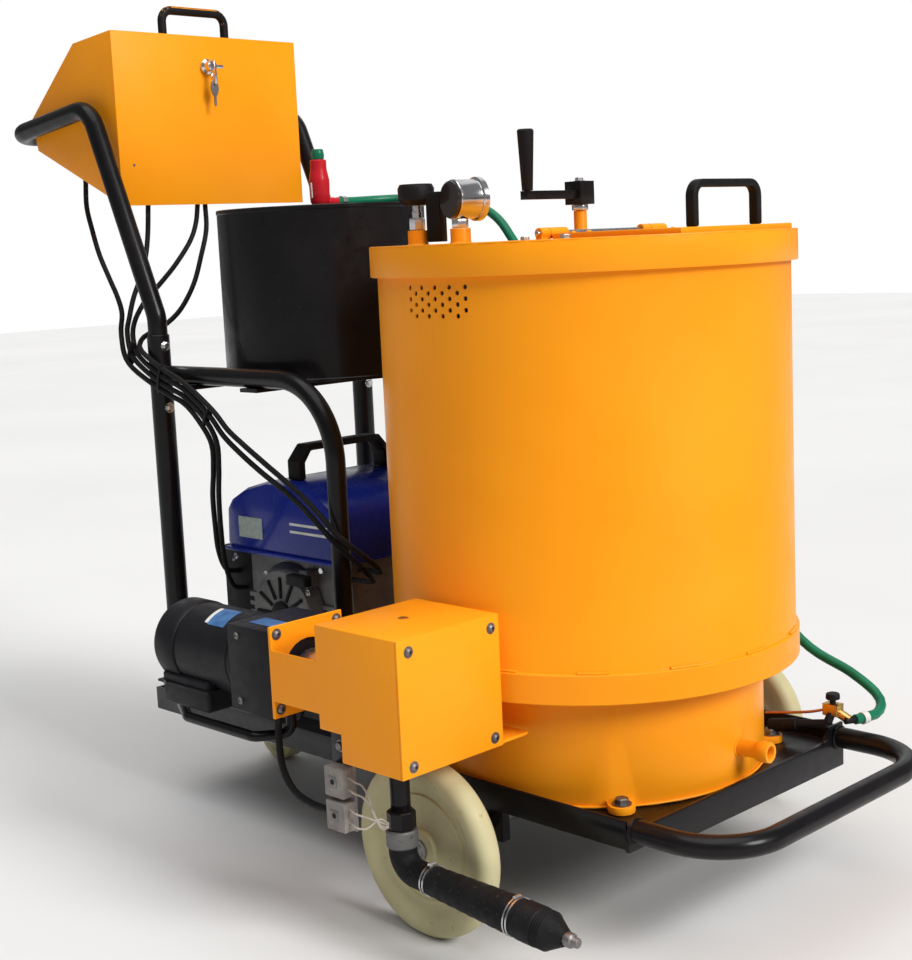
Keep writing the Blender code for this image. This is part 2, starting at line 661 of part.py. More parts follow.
def pump_housing():
    """The sheet box round the pump, with the webs and flange that carry the gear motor."""
    wall = BOX_WALL
    outside = block((BOX_REAR, BOX_NEAR, BOX_BOTTOM), (BOX_FRONT, BOX_FAR, BOX_TOP))
    shell = new_object("pump_housing", outside, yellow_paint())
    pocket_low = (BOX_REAR + wall, BOX_NEAR + wall, BOX_BOTTOM + wall)
    cut(shell, block(pocket_low, (BOX_FRONT + 0.01, BOX_FAR - wall, BOX_TOP - wall)))
    web_bottom, web_top = 0.2645, 0.3215
    for edge in (BOX_NEAR, FLANGE_FAR - wall):
        add(shell, block((FLANGE_REAR + 0.002, edge, web_bottom), (BOX_REAR + 0.001, edge + wall, web_top)))
    flange = block((FLANGE_REAR, BOX_NEAR, FLANGE_BOTTOM), (FLANGE_FRONT, FLANGE_FAR, FLANGE_TOP))
    shelf = block((-0.030, BOX_FAR - 0.001, BOX_BOTTOM), (BOX_FRONT, -0.2005, BOX_BOTTOM + 0.0035))
    add(shell, flange, shelf)
    axis = (DRIVE_Y, DRIVE_Z)
    cut(
        shell,
        rod((FLANGE_REAR - 0.01, *axis), (FLANGE_FRONT + 0.01, *axis), 0.034, sides=24),
        rod((BOX_REAR - 0.01, *axis), (BOX_REAR + 0.01, *axis), 0.012, sides=16),
        block((BOX_REAR - 0.01, BOX_NEAR - 0.01, BOX_BOTTOM - 0.01), (-0.0145, -0.3675, 0.2485)),
        rod((*OUTLET, BOX_BOTTOM - 0.01), (*OUTLET, BOX_BOTTOM + 0.01), 0.0114, sides=16),
    )


def pump_cover():
    """The front plate with its four dome-head screws."""
    back, face = BOX_FRONT + GAP, BOX_FRONT + 0.003
    sheet = block((back, BOX_NEAR, BOX_BOTTOM), (face, BOX_FAR, BOX_TOP))
    plate = new_object("pump_cover", sheet, yellow_paint())
    dome = [(0, -0.001), (0.0058, -0.001), (0.0058, 0.0018), (0.0035, 0.0040), (0, 0.0046)]
    for y in (BOX_NEAR + 0.0155, BOX_FAR - 0.0125):
        for z in (BOX_BOTTOM + 0.0110, BOX_TOP - 0.0135):
            add(plate, turned(dome, (face, y, z), (1, 0, 0), sides=10))


def gear_outline(teeth, pitch_radius, phase):
    """A plain spur gear's outline round the origin: root, flank and tip of each tooth."""
    module = 2 * pitch_radius / teeth
    root, tip = pitch_radius - 1.2 * module, pitch_radius + 0.85 * module
    half = ((0.06, tip), (0.18, pitch_radius), (0.32, root))
    flanks = [(-share, radius) for share, radius in reversed(half)] + list(half)
    outline = []
    for tooth in range(teeth):
        for share, radius in flanks:
            angle = 2 * pi * (tooth + share + phase) / teeth
            outline.append((radius * cos(angle), radius * sin(angle)))
    return outline


def gear(centre_y, centre_z, phase, back, front):
    """A gear across the drive line; its phase is in teeth, from a tooth that points down."""
    outline = gear_outline(GEAR_TEETH, GEAR_PITCH_R, phase)
    spots = [(centre_y + b, centre_z - a) for a, b in outline]
    return prism(spots, "x", back, front)


def pump():
    """The gear pump: an open-fronted case, the driven shaft's gear and the idler gear."""
    spacing = 2 * GEAR_PITCH_R + 0.0004
    lower_z = DRIVE_Z - spacing
    chamber_rear, chamber_front = 0.0100, 0.0450
    case_low = (-0.020, DRIVE_Y - 0.024, lower_z - 0.025)
    case = block(case_low, (chamber_front, DRIVE_Y + 0.024, DRIVE_Z + 0.025))
    body = new_object("pump_case", case, cast_grey())
    for z in (DRIVE_Z, lower_z):
        cut(body, rod((chamber_rear, DRIVE_Y, z), (chamber_front + 0.01, DRIVE_Y, z), 0.0162, sides=24))
    cut(body, rod((-0.03, DRIVE_Y, DRIVE_Z), (0.02, DRIVE_Y, DRIVE_Z), 0.0053, sides=16))
    cut(body, rod((-0.008, DRIVE_Y, lower_z), (0.02, DRIVE_Y, lower_z), 0.0053, sides=16))
    back, front = chamber_rear + GAP, chamber_front - 0.003
    driven = gear(DRIVE_Y, DRIVE_Z, 0, back, front)
    upper = new_object("drive_gear", driven, bright_steel(), (0, DRIVE_Y, DRIVE_Z))
    add(upper, rod((-0.068, DRIVE_Y, DRIVE_Z), (back + 0.004, DRIVE_Y, DRIVE_Z), 0.0050, sides=16))
    idling = gear(DRIVE_Y, lower_z, 0.5, back, front)
    lower = new_object("idler_gear", idling, bright_steel(), (0, DRIVE_Y, lower_z))
    add(lower, rod((-0.006, DRIVE_Y, lower_z), (back + 0.004, DRIVE_Y, lower_z), 0.0050, sides=16))


def coupling():
    """The shaft coupling, a disc with a hub each side, with the gear motor's output shaft."""
    axis = (DRIVE_Y, DRIVE_Z)
    profile = [(0, -0.142), (0.0060, -0.142), (0.0060, -0.120), (0.0230, -0.119), (0.0230, -0.070)]
    profile += [(0.0110, -0.069), (0.0110, -0.052), (0, -0.052)]
    solid = turned(profile, (0, *axis), (1, 0, 0), sides=20)
    disc = new_object("shaft_coupling", solid, black_rubber(), (0, *axis))
    cut(disc, rod((-0.0705, *axis), (-0.04, *axis), 0.0053, sides=16))


def gear_motor():
    axis = (DRIVE_Y, DRIVE_Z)
    front = FLANGE_REAR - GAP
    box = block((-0.2030, -0.3855, 0.2425), (front, -0.2891, 0.3395))
    gearbox = new_object("gearbox", box, black_paint())
    cut(gearbox, rod((-0.1435, *axis), (front + 0.01, *axis), 0.0063, sides=16))
    radius, cap_radius = 0.0484, 0.0500
    rear, cap_front, face = -0.3545, -0.3120, -0.2033
    profile = [(0, rear), (cap_radius - 0.008, rear), (cap_radius, rear + 0.006), (cap_radius, cap_front)]
    profile += [(radius, cap_front + 0.001), (radius, face), (0, face)]
    motor = new_object("motor_body", turned(profile, (0, *axis), (1, 0, 0), sides=28), black_paint())
    add(motor, block((-0.345, -0.380, 0.2240), (-0.255, -0.312, 0.2620)))


def guard_bar():
    """A round bar looped under the gear motor, its ends on the underside of the gearbox."""
    level = 0.213
    corners = [
        (-0.150, -0.345, 0.2421),
        (-0.150, -0.345, level),
        (-0.175, -0.379, level),
        (-0.300, -0.379, level),
        (-0.362, -0.345, level),
        (-0.330, -0.295, level),
        (-0.190, -0.300, level),
        (-0.190, -0.300, 0.2421),
    ]
    new_object("guard_bar", pipe(rounded(corners, 0.013, 3), 0.006, sides=10), black_paint())


def outlet():
    """The discharge pipe with its coupling and union nut."""
    top = DRIVE_Z - 2 * GEAR_PITCH_R - 0.0004 - 0.025 - GAP
    profile = [(0, top), (0.0107, top), (0.0107, 0.165), (0.0142, 0.164), (0.0142, 0.139)]
    profile += [(0.0175, 0.138), (0.0175, 0.1195), (0, 0.1195)]
    new_object("outlet_pipe", turned(list(reversed(profile)), (*OUTLET, 0), sides=16), black_paint())


def nozzle():
    """The swivelling elbow, insulated wand and cone, and the steel tip."""
    x, y = OUTLET
    level, radius = 0.0945, 0.0195
    end = Vector((0.1970, y, 0.0850))
    tip_start = Vector((0.2390, y, 0.0822))
    tip_end = Vector((0.2545, y, 0.0814))

    def taper(place):
        along = (place.x - 0.045) / 0.115
        return 0.78 + 0.22 * min(max(along, 0), 1)

    path = rounded([(x, y, 0.1192), (x, y, level), end], 0.022, 6)
    path[-1:] = [path[-2].lerp(end, 0.35), path[-2].lerp(end, 0.7), end]
    hose = pipe(path, radius, 16, taper)
    wand = new_object("nozzle_wand", hose, black_rubber(), (x, y, 0.1192))
    away = (tip_start - end).normalized()
    add(wand, rod(end - away * 0.012, end + away * 0.014, 0.0205, sides=16))
    add(wand, rod(end + away * 0.012, tip_start, 0.0195, 0.0085, sides=16))
    profile = [(0, 0), (0.0075, 0), (0.0075, 0.008), (0.0050, 0.009), (0.0050, 0.0155), (0, 0.0155)]
    place = tip_start + away * GAP
    new_object("nozzle_tip", turned(profile, place, tip_end - tip_start, sides=12), bright_steel())


def terminal_blocks():
    """Two ceramic terminal blocks on a strip that hangs from inside the pump housing."""
    hanger = block((-0.047, -0.3725, 0.1385), (-0.016, -0.3690, 0.2475))
    strip = new_object("terminal_block", hanger, ceramic())
    for low, high in ((0.1405, 0.1725), (0.1775, 0.2095)):
        add(strip, block((-0.046, -0.3875, low), (-0.017, -0.3715, high)))


# ------------------------------------------------------------------ wheels


def wheels():
    axle = rod((0, -AXLE_END, WHEEL_R), (0, AXLE_END, WHEEL_R), AXLE_R, sides=20)
    new_object("front_axle", axle, dark_steel())
    half = WHEEL_WIDTH / 2
    face = [(AXLE_R + GAP, half), (0.022, half), (0.028, half - 0.006), (0.068, half - 0.007)]
    face += [(0.080, half - 0.001), (0.090, half), (0.097, half - 0.005), (WHEEL_R, half - 0.012)]
    profile = face + [(radius, -height) for radius, height in reversed(face)]
    for name, side in (("front_wheel_right", -WHEEL_SIDE), ("front_wheel_left", WHEEL_SIDE)):
        centre = (0, side, WHEEL_R)
        new_object(name, turned(profile, centre, (0, 1, 0), sides=32), wheel_urethane(), centre)


def caster():
    """The rear swivel fork, with its pin, and the wheel in it."""
    centre = (CASTER_WHEEL_X, 0, CASTER_WHEEL_R)
    top = 0.1181
    pivot = (CASTER_PIVOT, 0, top)
    plate = block((CASTER_PIVOT - 0.036, -0.026, top - 0.006), (CASTER_PIVOT + 0.028, 0.026, top))
    fork = new_object("caster_fork", plate, bright_steel(), pivot)
    for side in (-1, 1):
        low, high = sorted((side * 0.022, side * 0.026))
        leg = block((CASTER_WHEEL_X - 0.014, low, 0.028), (CASTER_WHEEL_X + 0.026, high, top - 0.002))
        add(fork, leg)
    pin_end = (CASTER_WHEEL_X, 0.0245, CASTER_WHEEL_R)
    add(fork, rod((CASTER_WHEEL_X, -0.0245, CASTER_WHEEL_R), pin_end, 0.005))
    half = 0.015
    face = [(0.0053, half), (0.030, half), (0.037, half - 0.001), (CASTER_WHEEL_R, half - 0.004)]
    profile = face + [(radius, -height) for radius, height in reversed(face)]
    new_object("caster_wheel", turned(profile, centre, (0, 1, 0), sides=24), wheel_urethane(), centre)


# ------------------------------------------------------------------ generator


def generator():
    """The generator set: fuel tank, cap, carrying strap, engine and starter grip."""
    tank = new_object("fuel_tank", prism(TANK_SHAPE, "y", *TANK_SIDES), blue_paint())
    soften(tank, 0.012, 2)
    foot = TANK_TOP + GAP
    cap_centre = (-0.406, 0.100)
    cap = [(0, foot), (0.024, foot), (0.024, foot + 0.014), (0, foot + 0.018)]
    new_object("fuel_cap", turned(cap, (*cap_centre, 0), sides=16), black_plastic(), (*cap_centre, foot))
    near, far, strap_x, strap_top = -0.112, 0.048, -0.410, 0.492
    outer = [(near, foot), (near, strap_top - 0.020), (near + 0.018, strap_top), (far - 0.018, strap_top)]
    outer += [(far, strap_top - 0.020), (far, foot)]
    inner = [(far - 0.010, foot), (far - 0.010, strap_top - 0.024), (far - 0.022, strap_top - 0.008)]
    inner += [(near + 0.022, strap_top - 0.008), (near + 0.010, strap_top - 0.024), (near + 0.010, foot)]
    strap = prism(outer + inner, "x", strap_x - 0.013, strap_x + 0.013)
    new_object("generator_strap", strap, black_plastic())
    base = block((-0.520, -0.130, DECK_TOP + GAP), (-0.300, 0.150, 0.165))
    engine = new_object("engine_block", base, cast_grey())
    add(engine, block((-0.505, -0.118, 0.160), (-0.310, 0.140, TANK_BOTTOM - GAP)))
    add(engine, rod((-0.420, -0.120, 0.270), (-0.420, -0.138, 0.270), 0.068, 0.058, sides=24))
    add(engine, block((-0.572, -0.112, 0.170), (-0.500, -0.060, 0.344)))
    grip = block((-0.392, -0.152, 0.316), (-0.352, -0.1385, 0.330))
    add(engine, block((-0.380, -0.138, 0.312), (-0.364, -0.115, 0.334)))
    new_object("starter_grip", grip, black_plastic())


# ------------------------------------------------------------------ console


def inset(outline, distance):
    """A convex outline, listed anticlockwise, moved inwards by the distance."""
    points = [Vector((x, z, 0)) for x, z in outline]
    sides = []
    for a, b in zip(points, points[1:] + points[:1]):
        along = (b - a).normalized()
        inward = Vector((-along.y, along.x, 0)) * distance
        sides.append((a + inward, b + inward))
    corners = []
    for before, after in zip(sides[-1:] + sides[:-1], sides):
        meeting = intersect_line_line(*before, *after)[0]
        corners.append((meeting.x, meeting.y))
    return corners


def console():
    """The operator's box, its front door with lock, and the panel with its controls."""
    wall = CONSOLE_WALL
    solid = prism(CONSOLE_SHAPE, "y", -CONSOLE_SIDE, CONSOLE_SIDE)
    shell = new_object("console_shell", solid, yellow_paint())
    hollow = inset(CONSOLE_SHAPE, wall)
    reach = 0.02
    hollow = [(x + reach if x > CONSOLE_FRONT - 2 * wall else x, z) for x, z in hollow]
    cut(shell, prism(hollow, "y", -CONSOLE_SIDE + wall, CONSOLE_SIDE - wall))
    handle_x, handle_y, handle_top = -0.717, 0.054, 1.0880
    corners = [
        (handle_x, -handle_y, 1.0470),
        (handle_x, -handle_y, handle_top),
        (handle_x, handle_y, handle_top),
        (handle_x, handle_y, 1.0470),
    ]
    add(shell, pipe(rounded(corners, 0.016, 4), 0.0060))
    top, bottom = CONSOLE_SHAPE[0][1], CONSOLE_SHAPE[-1][1]
    back = CONSOLE_FRONT + GAP
    face = back + 0.002
    sheet = block((back, -CONSOLE_SIDE, bottom), (face, CONSOLE_SIDE, top))
    new_object("console_door", sheet, yellow_paint(), (face, 0, bottom))
    lock_y, lock_z = -0.004, 1.008
    barrel = [(0, face + GAP), (0.011, face + GAP), (0.011, face + 0.004), (0.0075, face + 0.006)]
    barrel += [(0.0075, face + 0.016), (0, face + 0.016)]
    solid = turned(barrel, (0, lock_y, lock_z), (1, 0, 0), sides=14)
    key = new_object("lock_key", solid, bright_steel(), (face, lock_y, lock_z))
    blade_low = (face + 0.012, lock_y - 0.0015, lock_z - 0.026)
    add(key, block(blade_low, (face + 0.022, lock_y + 0.0015, lock_z + 0.006)))


def control_panel():
    """The panel on the console's sloping rear face, with an emergency stop and a speed knob."""
    upper, lower = (Vector((x, 0, z)) for x, z in (CONSOLE_SHAPE[1], CONSOLE_SHAPE[2]))
    down = (lower - upper).normalized()
    out = Vector((down.z, 0, -down.x))
    middle = (upper + lower) / 2

    def on_panel(shape):
        axes = Matrix((down, Vector((0, 1, 0)), out)).transposed().to_4x4()
        bmesh.ops.transform(shape, matrix=Matrix.Translation(middle) @ axes, verts=shape.verts)
        return shape

    plate = block((-0.058, -0.130, GAP), (0.058, 0.130, 0.003))
    new_object("control_panel", on_panel(plate), grey_panel())
    stop = [(0, 0), (0.010, 0), (0.010, 0.010), (0.018, 0.011), (0.018, 0.020), (0.012, 0.024)]
    dial = [(0, 0), (0.016, 0), (0.013, 0.016)]
    base = 0.003 + GAP
    buttons = (("emergency_stop", stop, 0.085, red_paint()), ("speed_knob", dial, -0.030, black_plastic()))
    for name, profile, side, look in buttons:
        top = profile[-1][1]
        button = on_panel(turned([*profile, (0, top)], (0.010, side, base), sides=18))
        new_object(name, button, look, middle + out * base + down * 0.010 + Vector((0, side, 0)))


# ------------------------------------------------------------------ torch


def torch():
    """The hand torch that lights the firebox, laid across its bracket, and its valve knob."""
    trapezoid = [(0.160, 0.1403), (0.2035, 0.1403), (0.2035, 0.157), (0.173, 0.157)]
    new_object("torch_bracket", prism(trapezoid, "x", 0.2085, 0.2115), black_paint())
    head, tip, valve, tail = (Vector(place) for place in (TORCH_HEAD, TORCH_TIP, TORCH_VALVE, TORCH_TAIL))
    middle = head.lerp(tip, 0.55)
    body = new_object("torch_body", rod(middle, tip, 0.0060, 0.0072, sides=12), black_plastic())
    add(body, rod(head, middle.lerp(tip, 0.05), 0.0046, 0.0058, sides=12))
    add(body, block(valve - Vector((0.010, 0.007, 0.007)), valve + Vector((0.010, 0.007, 0.007))))
    add(body, rod(head, valve, 0.0052, sides=10), rod(valve, tail, 0.0052, 0.0048, sides=10))
    barb = tail + Vector((0.0024, 0.0064, -0.0003))
    add(body, rod(tail - (barb - tail), barb, 0.0042, sides=10))
    add(body, rod(valve, valve + Vector((0, 0, 0.012)), 0.0035, sides=10))
    top = valve.z + 0.012 + GAP
    knob = [(0, top), (0.0085, top), (0.0080, top + 0.007), (0, top + 0.007)]
    solid = turned(knob, (valve.x, valve.y, 0), sides=12)
    new_object("torch_knob", solid, black_plastic(), (valve.x, valve.y, top))


# ------------------------------------------------------------------ cords


CABLE_ROUTES = (
    (
        (-0.793, -0.150, 0.8565),
        (-0.796, -0.150, 0.819),
        (-0.783, -0.152, 0.785),
        (-0.763, -0.156, 0.750),
        (-0.730, -0.164, 0.717),
        (-0.697, -0.174, 0.690),
        (-0.677, -0.182, 0.668),
        (-0.672, -0.189, 0.640),
        (-0.645, -0.198, 0.602),
        (-0.565, -0.2035, 0.569),
        (-0.515, -0.2035, 0.553),
        (-0.482, -0.2035, 0.529),
        (-0.460, -0.2035, 0.502),
        (-0.460, -0.2035, 0.468),
        (-0.470, -0.200, 0.434),
        (-0.490, -0.185, 0.391),
        (-0.514, -0.165, 0.350),
        (-0.536, -0.138, 0.318),
        (-0.538, -0.1136, 0.312),
    ),
    (
        (-0.701, -0.110, 0.8170),
        (-0.704, -0.112, 0.777),
        (-0.702, -0.120, 0.744),
        (-0.693, -0.138, 0.714),
        (-0.685, -0.156, 0.689),
        (-0.674, -0.172, 0.664),
        (-0.663, -0.185, 0.641),
        (-0.633, -0.197, 0.609),
        (-0.564, -0.2035, 0.578),
        (-0.514, -0.2035, 0.562),
        (-0.472, -0.2035, 0.535),
        (-0.449, -0.2035, 0.506),
        (-0.448, -0.2035, 0.472),
        (-0.457, -0.200, 0.435),
        (-0.478, -0.185, 0.388),
        (-0.502, -0.165, 0.338),
        (-0.523, -0.138, 0.297),
        (-0.525, -0.1136, 0.290),
    ),
    (
        (-0.7035, -0.0235, 0.8172),
        (-0.7015, -0.030, 0.790),
        (-0.695, -0.047, 0.764),
        (-0.686, -0.080, 0.733),
        (-0.668, -0.120, 0.708),
        (-0.659, -0.148, 0.690),
        (-0.661, -0.162, 0.674),
        (-0.660, -0.175, 0.654),
        (-0.648, -0.186, 0.634),
        (-0.620, -0.197, 0.612),
        (-0.563, -0.2035, 0.588),
        (-0.513, -0.2035, 0.571),
        (-0.463, -0.2035, 0.541),
        (-0.434, -0.2035, 0.515),
        (-0.402, -0.2035, 0.495),
        (-0.362, -0.2035, 0.474),
        (-0.321, -0.2035, 0.455),
        (-0.288, -0.2035, 0.438),
        (-0.258, -0.203, 0.418),
        (-0.232, -0.197, 0.394),
        (-0.216, -0.178, 0.368),
        (-0.224, -0.150, 0.345),
        (-0.252, -0.124, 0.333),
        (-0.285, -0.112, 0.327),
        (-0.3088, -0.110, 0.326),
    ),
    (
        (-0.7035, -0.0105, 0.8172),
        (-0.697, -0.016, 0.780),
        (-0.674, -0.045, 0.742),
        (-0.648, -0.080, 0.703),
        (-0.635, -0.115, 0.669),
        (-0.634, -0.145, 0.649),
        (-0.637, -0.165, 0.641),
        (-0.631, -0.184, 0.633),
        (-0.611, -0.199, 0.620),
        (-0.561, -0.2035, 0.598),
        (-0.512, -0.2035, 0.580),
        (-0.454, -0.2035, 0.547),
        (-0.424, -0.2035, 0.523),
        (-0.392, -0.2035, 0.505),
        (-0.353, -0.2035, 0.485),
        (-0.313, -0.2035, 0.465),
        (-0.281, -0.2035, 0.448),
        (-0.251, -0.204, 0.429),
        (-0.225, -0.200, 0.406),
        (-0.2065, -0.180, 0.381),
        (-0.213, -0.148, 0.359),
        (-0.245, -0.117, 0.344),
        (-0.283, -0.098, 0.338),
        (-0.3088, -0.094, 0.336),
    ),
)


def cables():
    """Four cables from under the console, all to the generator by way of the near side frame."""
    for number, route in enumerate(CABLE_ROUTES, 1):
        cord(f"cable_{number}", route, CABLE_R, black_rubber())


def hose_and_motor_cable():
    hose = [
        (DRUM_X, 0.0306, REGULATOR_Z),
        (DRUM_X + 0.002, 0.060, REGULATOR_Z),
        (-0.448, 0.100, 0.8078),
        (-0.426, 0.138, 0.8078),
        (-0.386, 0.162, 0.8035),
        (-0.332, 0.166, 0.7950),
        (-0.280, 0.157, 0.7740),
        (-0.2425, 0.152, 0.737),
        (-0.212, 0.180, 0.670),
        (-0.165, 0.224, 0.585),
        (-0.115, 0.250, 0.500),
        (-0.050, 0.264, 0.405),
        (0.030, 0.267, 0.312),
        (0.117, 0.262, 0.231),
        (0.188, 0.259, 0.202),
        (0.226, 0.253, 0.184),
        (0.243, 0.238, 0.174),
        (0.2475, 0.217, 0.169),
        (0.2450, 0.198, 0.1693),
        (0.2406, 0.1829, 0.1697),
    ]
    cord("gas_hose", hose, HOSE_R, green_hose())
    cable = [
        (-0.143, -0.3680, 0.2418),
        (-0.144, -0.3685, 0.212),
        (-0.138, -0.3700, 0.182),
        (-0.116, -0.3735, 0.162),
        (-0.082, -0.3775, 0.1565),
        (-0.0465, -0.3795, 0.1565),
    ]
    cord("motor_cable", cable, 0.0040, black_rubber())


def build():
    clear_scene()
    machine = bpy.data.objects.new("machine", None)
    machine.location = KETTLE_AXIS
    bpy.context.scene.collection.objects.link(machine)
    chassis()
    bumper()
    side_frame("side_frame_right", -FRAME_SIDE)
    side_frame("side_frame_left", FRAME_SIDE)
    push_handle()
    drum_shelf()
    gas_supply()
    jacket()
    firebox()
    inner_pot()
    lid()
    hatch()
    agitator()
    lid_fittings()
    pump_housing()
    pump_cover()
    pump()
    coupling()
    gear_motor()
    guard_bar()
    outlet()
    nozzle()
    terminal_blocks()
    wheels()
    caster()
    generator()
    console()
    control_panel()
    torch()
    cables()
    hose_and_motor_cable()


build()
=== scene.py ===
"""Looks for the walk-behind kettle machine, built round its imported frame.

Shapes are laid out round the kettle's vertical axis, with +X forward, +Y to the machine's
left and the floor at z = 0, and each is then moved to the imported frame's own origin.
"""

from math import cos, pi, radians, sin

import bmesh
import bpy
from mathutils import Matrix, Vector


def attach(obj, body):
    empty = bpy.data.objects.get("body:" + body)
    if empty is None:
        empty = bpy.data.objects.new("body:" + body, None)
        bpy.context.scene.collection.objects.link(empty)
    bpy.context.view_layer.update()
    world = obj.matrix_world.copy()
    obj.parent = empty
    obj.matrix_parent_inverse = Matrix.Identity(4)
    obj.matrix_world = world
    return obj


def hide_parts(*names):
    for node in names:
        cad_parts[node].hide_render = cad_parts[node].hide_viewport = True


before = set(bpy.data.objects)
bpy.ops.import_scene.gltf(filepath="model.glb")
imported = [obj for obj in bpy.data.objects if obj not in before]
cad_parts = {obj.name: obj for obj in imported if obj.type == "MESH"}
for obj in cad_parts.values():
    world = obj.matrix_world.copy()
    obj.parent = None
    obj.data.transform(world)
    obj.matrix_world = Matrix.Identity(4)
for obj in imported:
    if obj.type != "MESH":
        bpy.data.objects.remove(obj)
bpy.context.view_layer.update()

KETTLE_AXIS = Vector((0.2992, 0.0425, 0.0))
FRAME = "machine_frame"

# Directions
FORWARD, BACKWARD, LEFT, RIGHT, UP = (1, 0, 0), (-1, 0, 0), (0, 1, 0), (0, -1, 0), (0, 0, 1)

# Edges and shine
WELD_DISTANCE = 0.00001
ROUNDED_FROM, SMOOTH_BELOW = radians(40), radians(33)
SPECULAR_LEVEL = 0.14

# Camera
CAMERA_PLACE = (1.4967, -1.3562, 0.7442)
CAMERA_AZIMUTH, CAMERA_PITCH, CAMERA_ROLL = radians(45.43), radians(8.53), radians(2.62)
CAMERA_LENS, SENSOR_WIDTH = 59.3, 36.0

# Kettle
JACKET_R, BAND_R, LID_R, JACKET_WALL = 0.2355, 0.2394, 0.2434, 0.002
JACKET_BOTTOM, JACKET_TOP, BASE_BAND_TOP = 0.259, 0.7387, 0.293
LID_TOP, BOSS_FOOT = 0.7423, 0.7603
VALVE_AT, THERMOMETER_AT = (-0.150, -0.115), (-0.090, -0.105)
FIREBOX_R, FIREBOX_BOTTOM = 0.197, 0.1328
BURNER_ANGLE, BURNER_Z, BURNER_END = radians(4), 0.172, 0.236
HATCH_TOP = 0.7497

# Frames
FRAME_SIDE, POST_X, POST_R, POST_TOP = 0.180, -0.597, 0.015, 0.640
DECK_TOP = 0.1325

# Drive line and pump box
DRIVE_Y, DRIVE_Z = -0.3373, 0.291
BOX_NEAR, BOX_FAR, BOX_FRONT = -0.388, -0.2425, 0.0745
BOX_BOTTOM, BOX_TOP = 0.218, 0.3605

# Gas supply
DRUM_X = -0.458

# Wheels
WHEEL_R, WHEEL_SIDE = 0.100, 0.286


# ------------------------------------------------------------------ shapes


def with_round_edges(shape, edge, segments):
    """A shape with every edge rounded, where an edge radius is given."""
    if edge:
        bmesh.ops.bevel(
            shape, geom=shape.edges[:], offset=edge, segments=segments, affect="EDGES", profile=0.5
        )
    return shape


def block(low, high, edge=0.0, segments=2):
    """A box between two corners, its edges rounded where an edge radius is given."""
    shape = bmesh.new()
    size = [b - a for a, b in zip(low, high)]
    middle = [(a + b) / 2 for a, b in zip(low, high)]
    place = Matrix.Translation(middle) @ Matrix.Diagonal((*size, 1.0))
    bmesh.ops.create_cube(shape, size=1.0, matrix=place)
    return with_round_edges(shape, edge, segments)


def prism(outline, axis, low, high, edge=0.0, segments=2):
    """An outline in the plane across the axis, extruded along it from low to high."""
    shape = bmesh.new()
    ring = []
    for a, b in outline:
        ring.append(shape.verts.new({"x": (low, a, b), "y": (a, low, b), "z": (a, b, low)}[axis]))
    raised = bmesh.ops.extrude_face_region(shape, geom=[shape.faces.new(ring)])
    moved = [item for item in raised["geom"] if isinstance(item, bmesh.types.BMVert)]
    sweep = Vector([(high - low) * (axis == letter) for letter in "xyz"])
    bmesh.ops.translate(shape, verts=moved, vec=sweep)
    return with_round_edges(shape, edge, segments)


def turned(profile, centre=(0, 0, 0), axis=UP, sides=48):
    """A profile of (radius, height) points turned round an axis; off the axis it closes into a ring."""
    shape = bmesh.new()
    rings = []
    for radius, height in profile:
        count = sides if radius > 0 else 1
        angles = [2 * pi * step / sides for step in range(count)]
        rings.append([shape.verts.new((radius * cos(a), radius * sin(a), height)) for a in angles])
    pairs = list(zip(rings, rings[1:]))
    if profile[0][0] > 0:
        pairs.append((rings[-1], rings[0]))
    for lower, upper in pairs:
        for step in range(sides):
            after = (step + 1) % sides
            corners = [lower[step % len(lower)], lower[after % len(lower)]]
            corners += [upper[after % len(upper)], upper[step % len(upper)]]
            shape.faces.new(list(dict.fromkeys(corners)))
    turn = Vector(UP).rotation_difference(Vector(axis).normalized()).to_matrix().to_4x4()
    bmesh.ops.transform(shape, matrix=Matrix.Translation(centre) @ turn, verts=shape.verts)
    return shape


def rod(start, end, radius, end_radius=None, sides=24, edge=0.0):
    """A round bar between two points, its rims chamfered by the edge length."""
    along = Vector(end) - Vector(start)
    last = radius if end_radius is None else end_radius
    profile = [(0, 0), (radius - edge, 0), (radius, edge), (last, along.length - edge)]
    profile += [(last - edge, along.length), (0, along.length)]
    if not edge:
        profile = [(0, 0), (radius, 0), (last, along.length), (0, along.length)]
    return turned(profile, start, along, sides)


def pipe(points, radius, sides=20, taper=None):
    """A round bar along a path; where it tapers, a ring's radius is multiplied by taper(point)."""
    shape = bmesh.new()
    path = [Vector(point) for point in points]
    steps = [(b - a).normalized() for a, b in zip(path, path[1:])]
    tangents = [steps[0], *[(a + b).normalized() for a, b in zip(steps, steps[1:])], steps[-1]]
    side = tangents[0].orthogonal().normalized()
    rings = []
    for place, tangent in zip(path, tangents):
        side = (side - tangent * side.dot(tangent)).normalized()
        across = tangent.cross(side)
        reach = radius * (taper(place) if taper else 1)
        angles = [2 * pi * step / sides for step in range(sides)]
        rings.append(
            [shape.verts.new(place + reach * (side * cos(a) + across * sin(a))) for a in angles]
        )
    for lower, upper in zip(rings, rings[1:]):
        for step in range(sides):
            after = (step + 1) % sides
            shape.faces.new((lower[step], lower[after], upper[after], upper[step]))
    shape.faces.new(rings[0])
    shape.faces.new(rings[-1])
    return shape


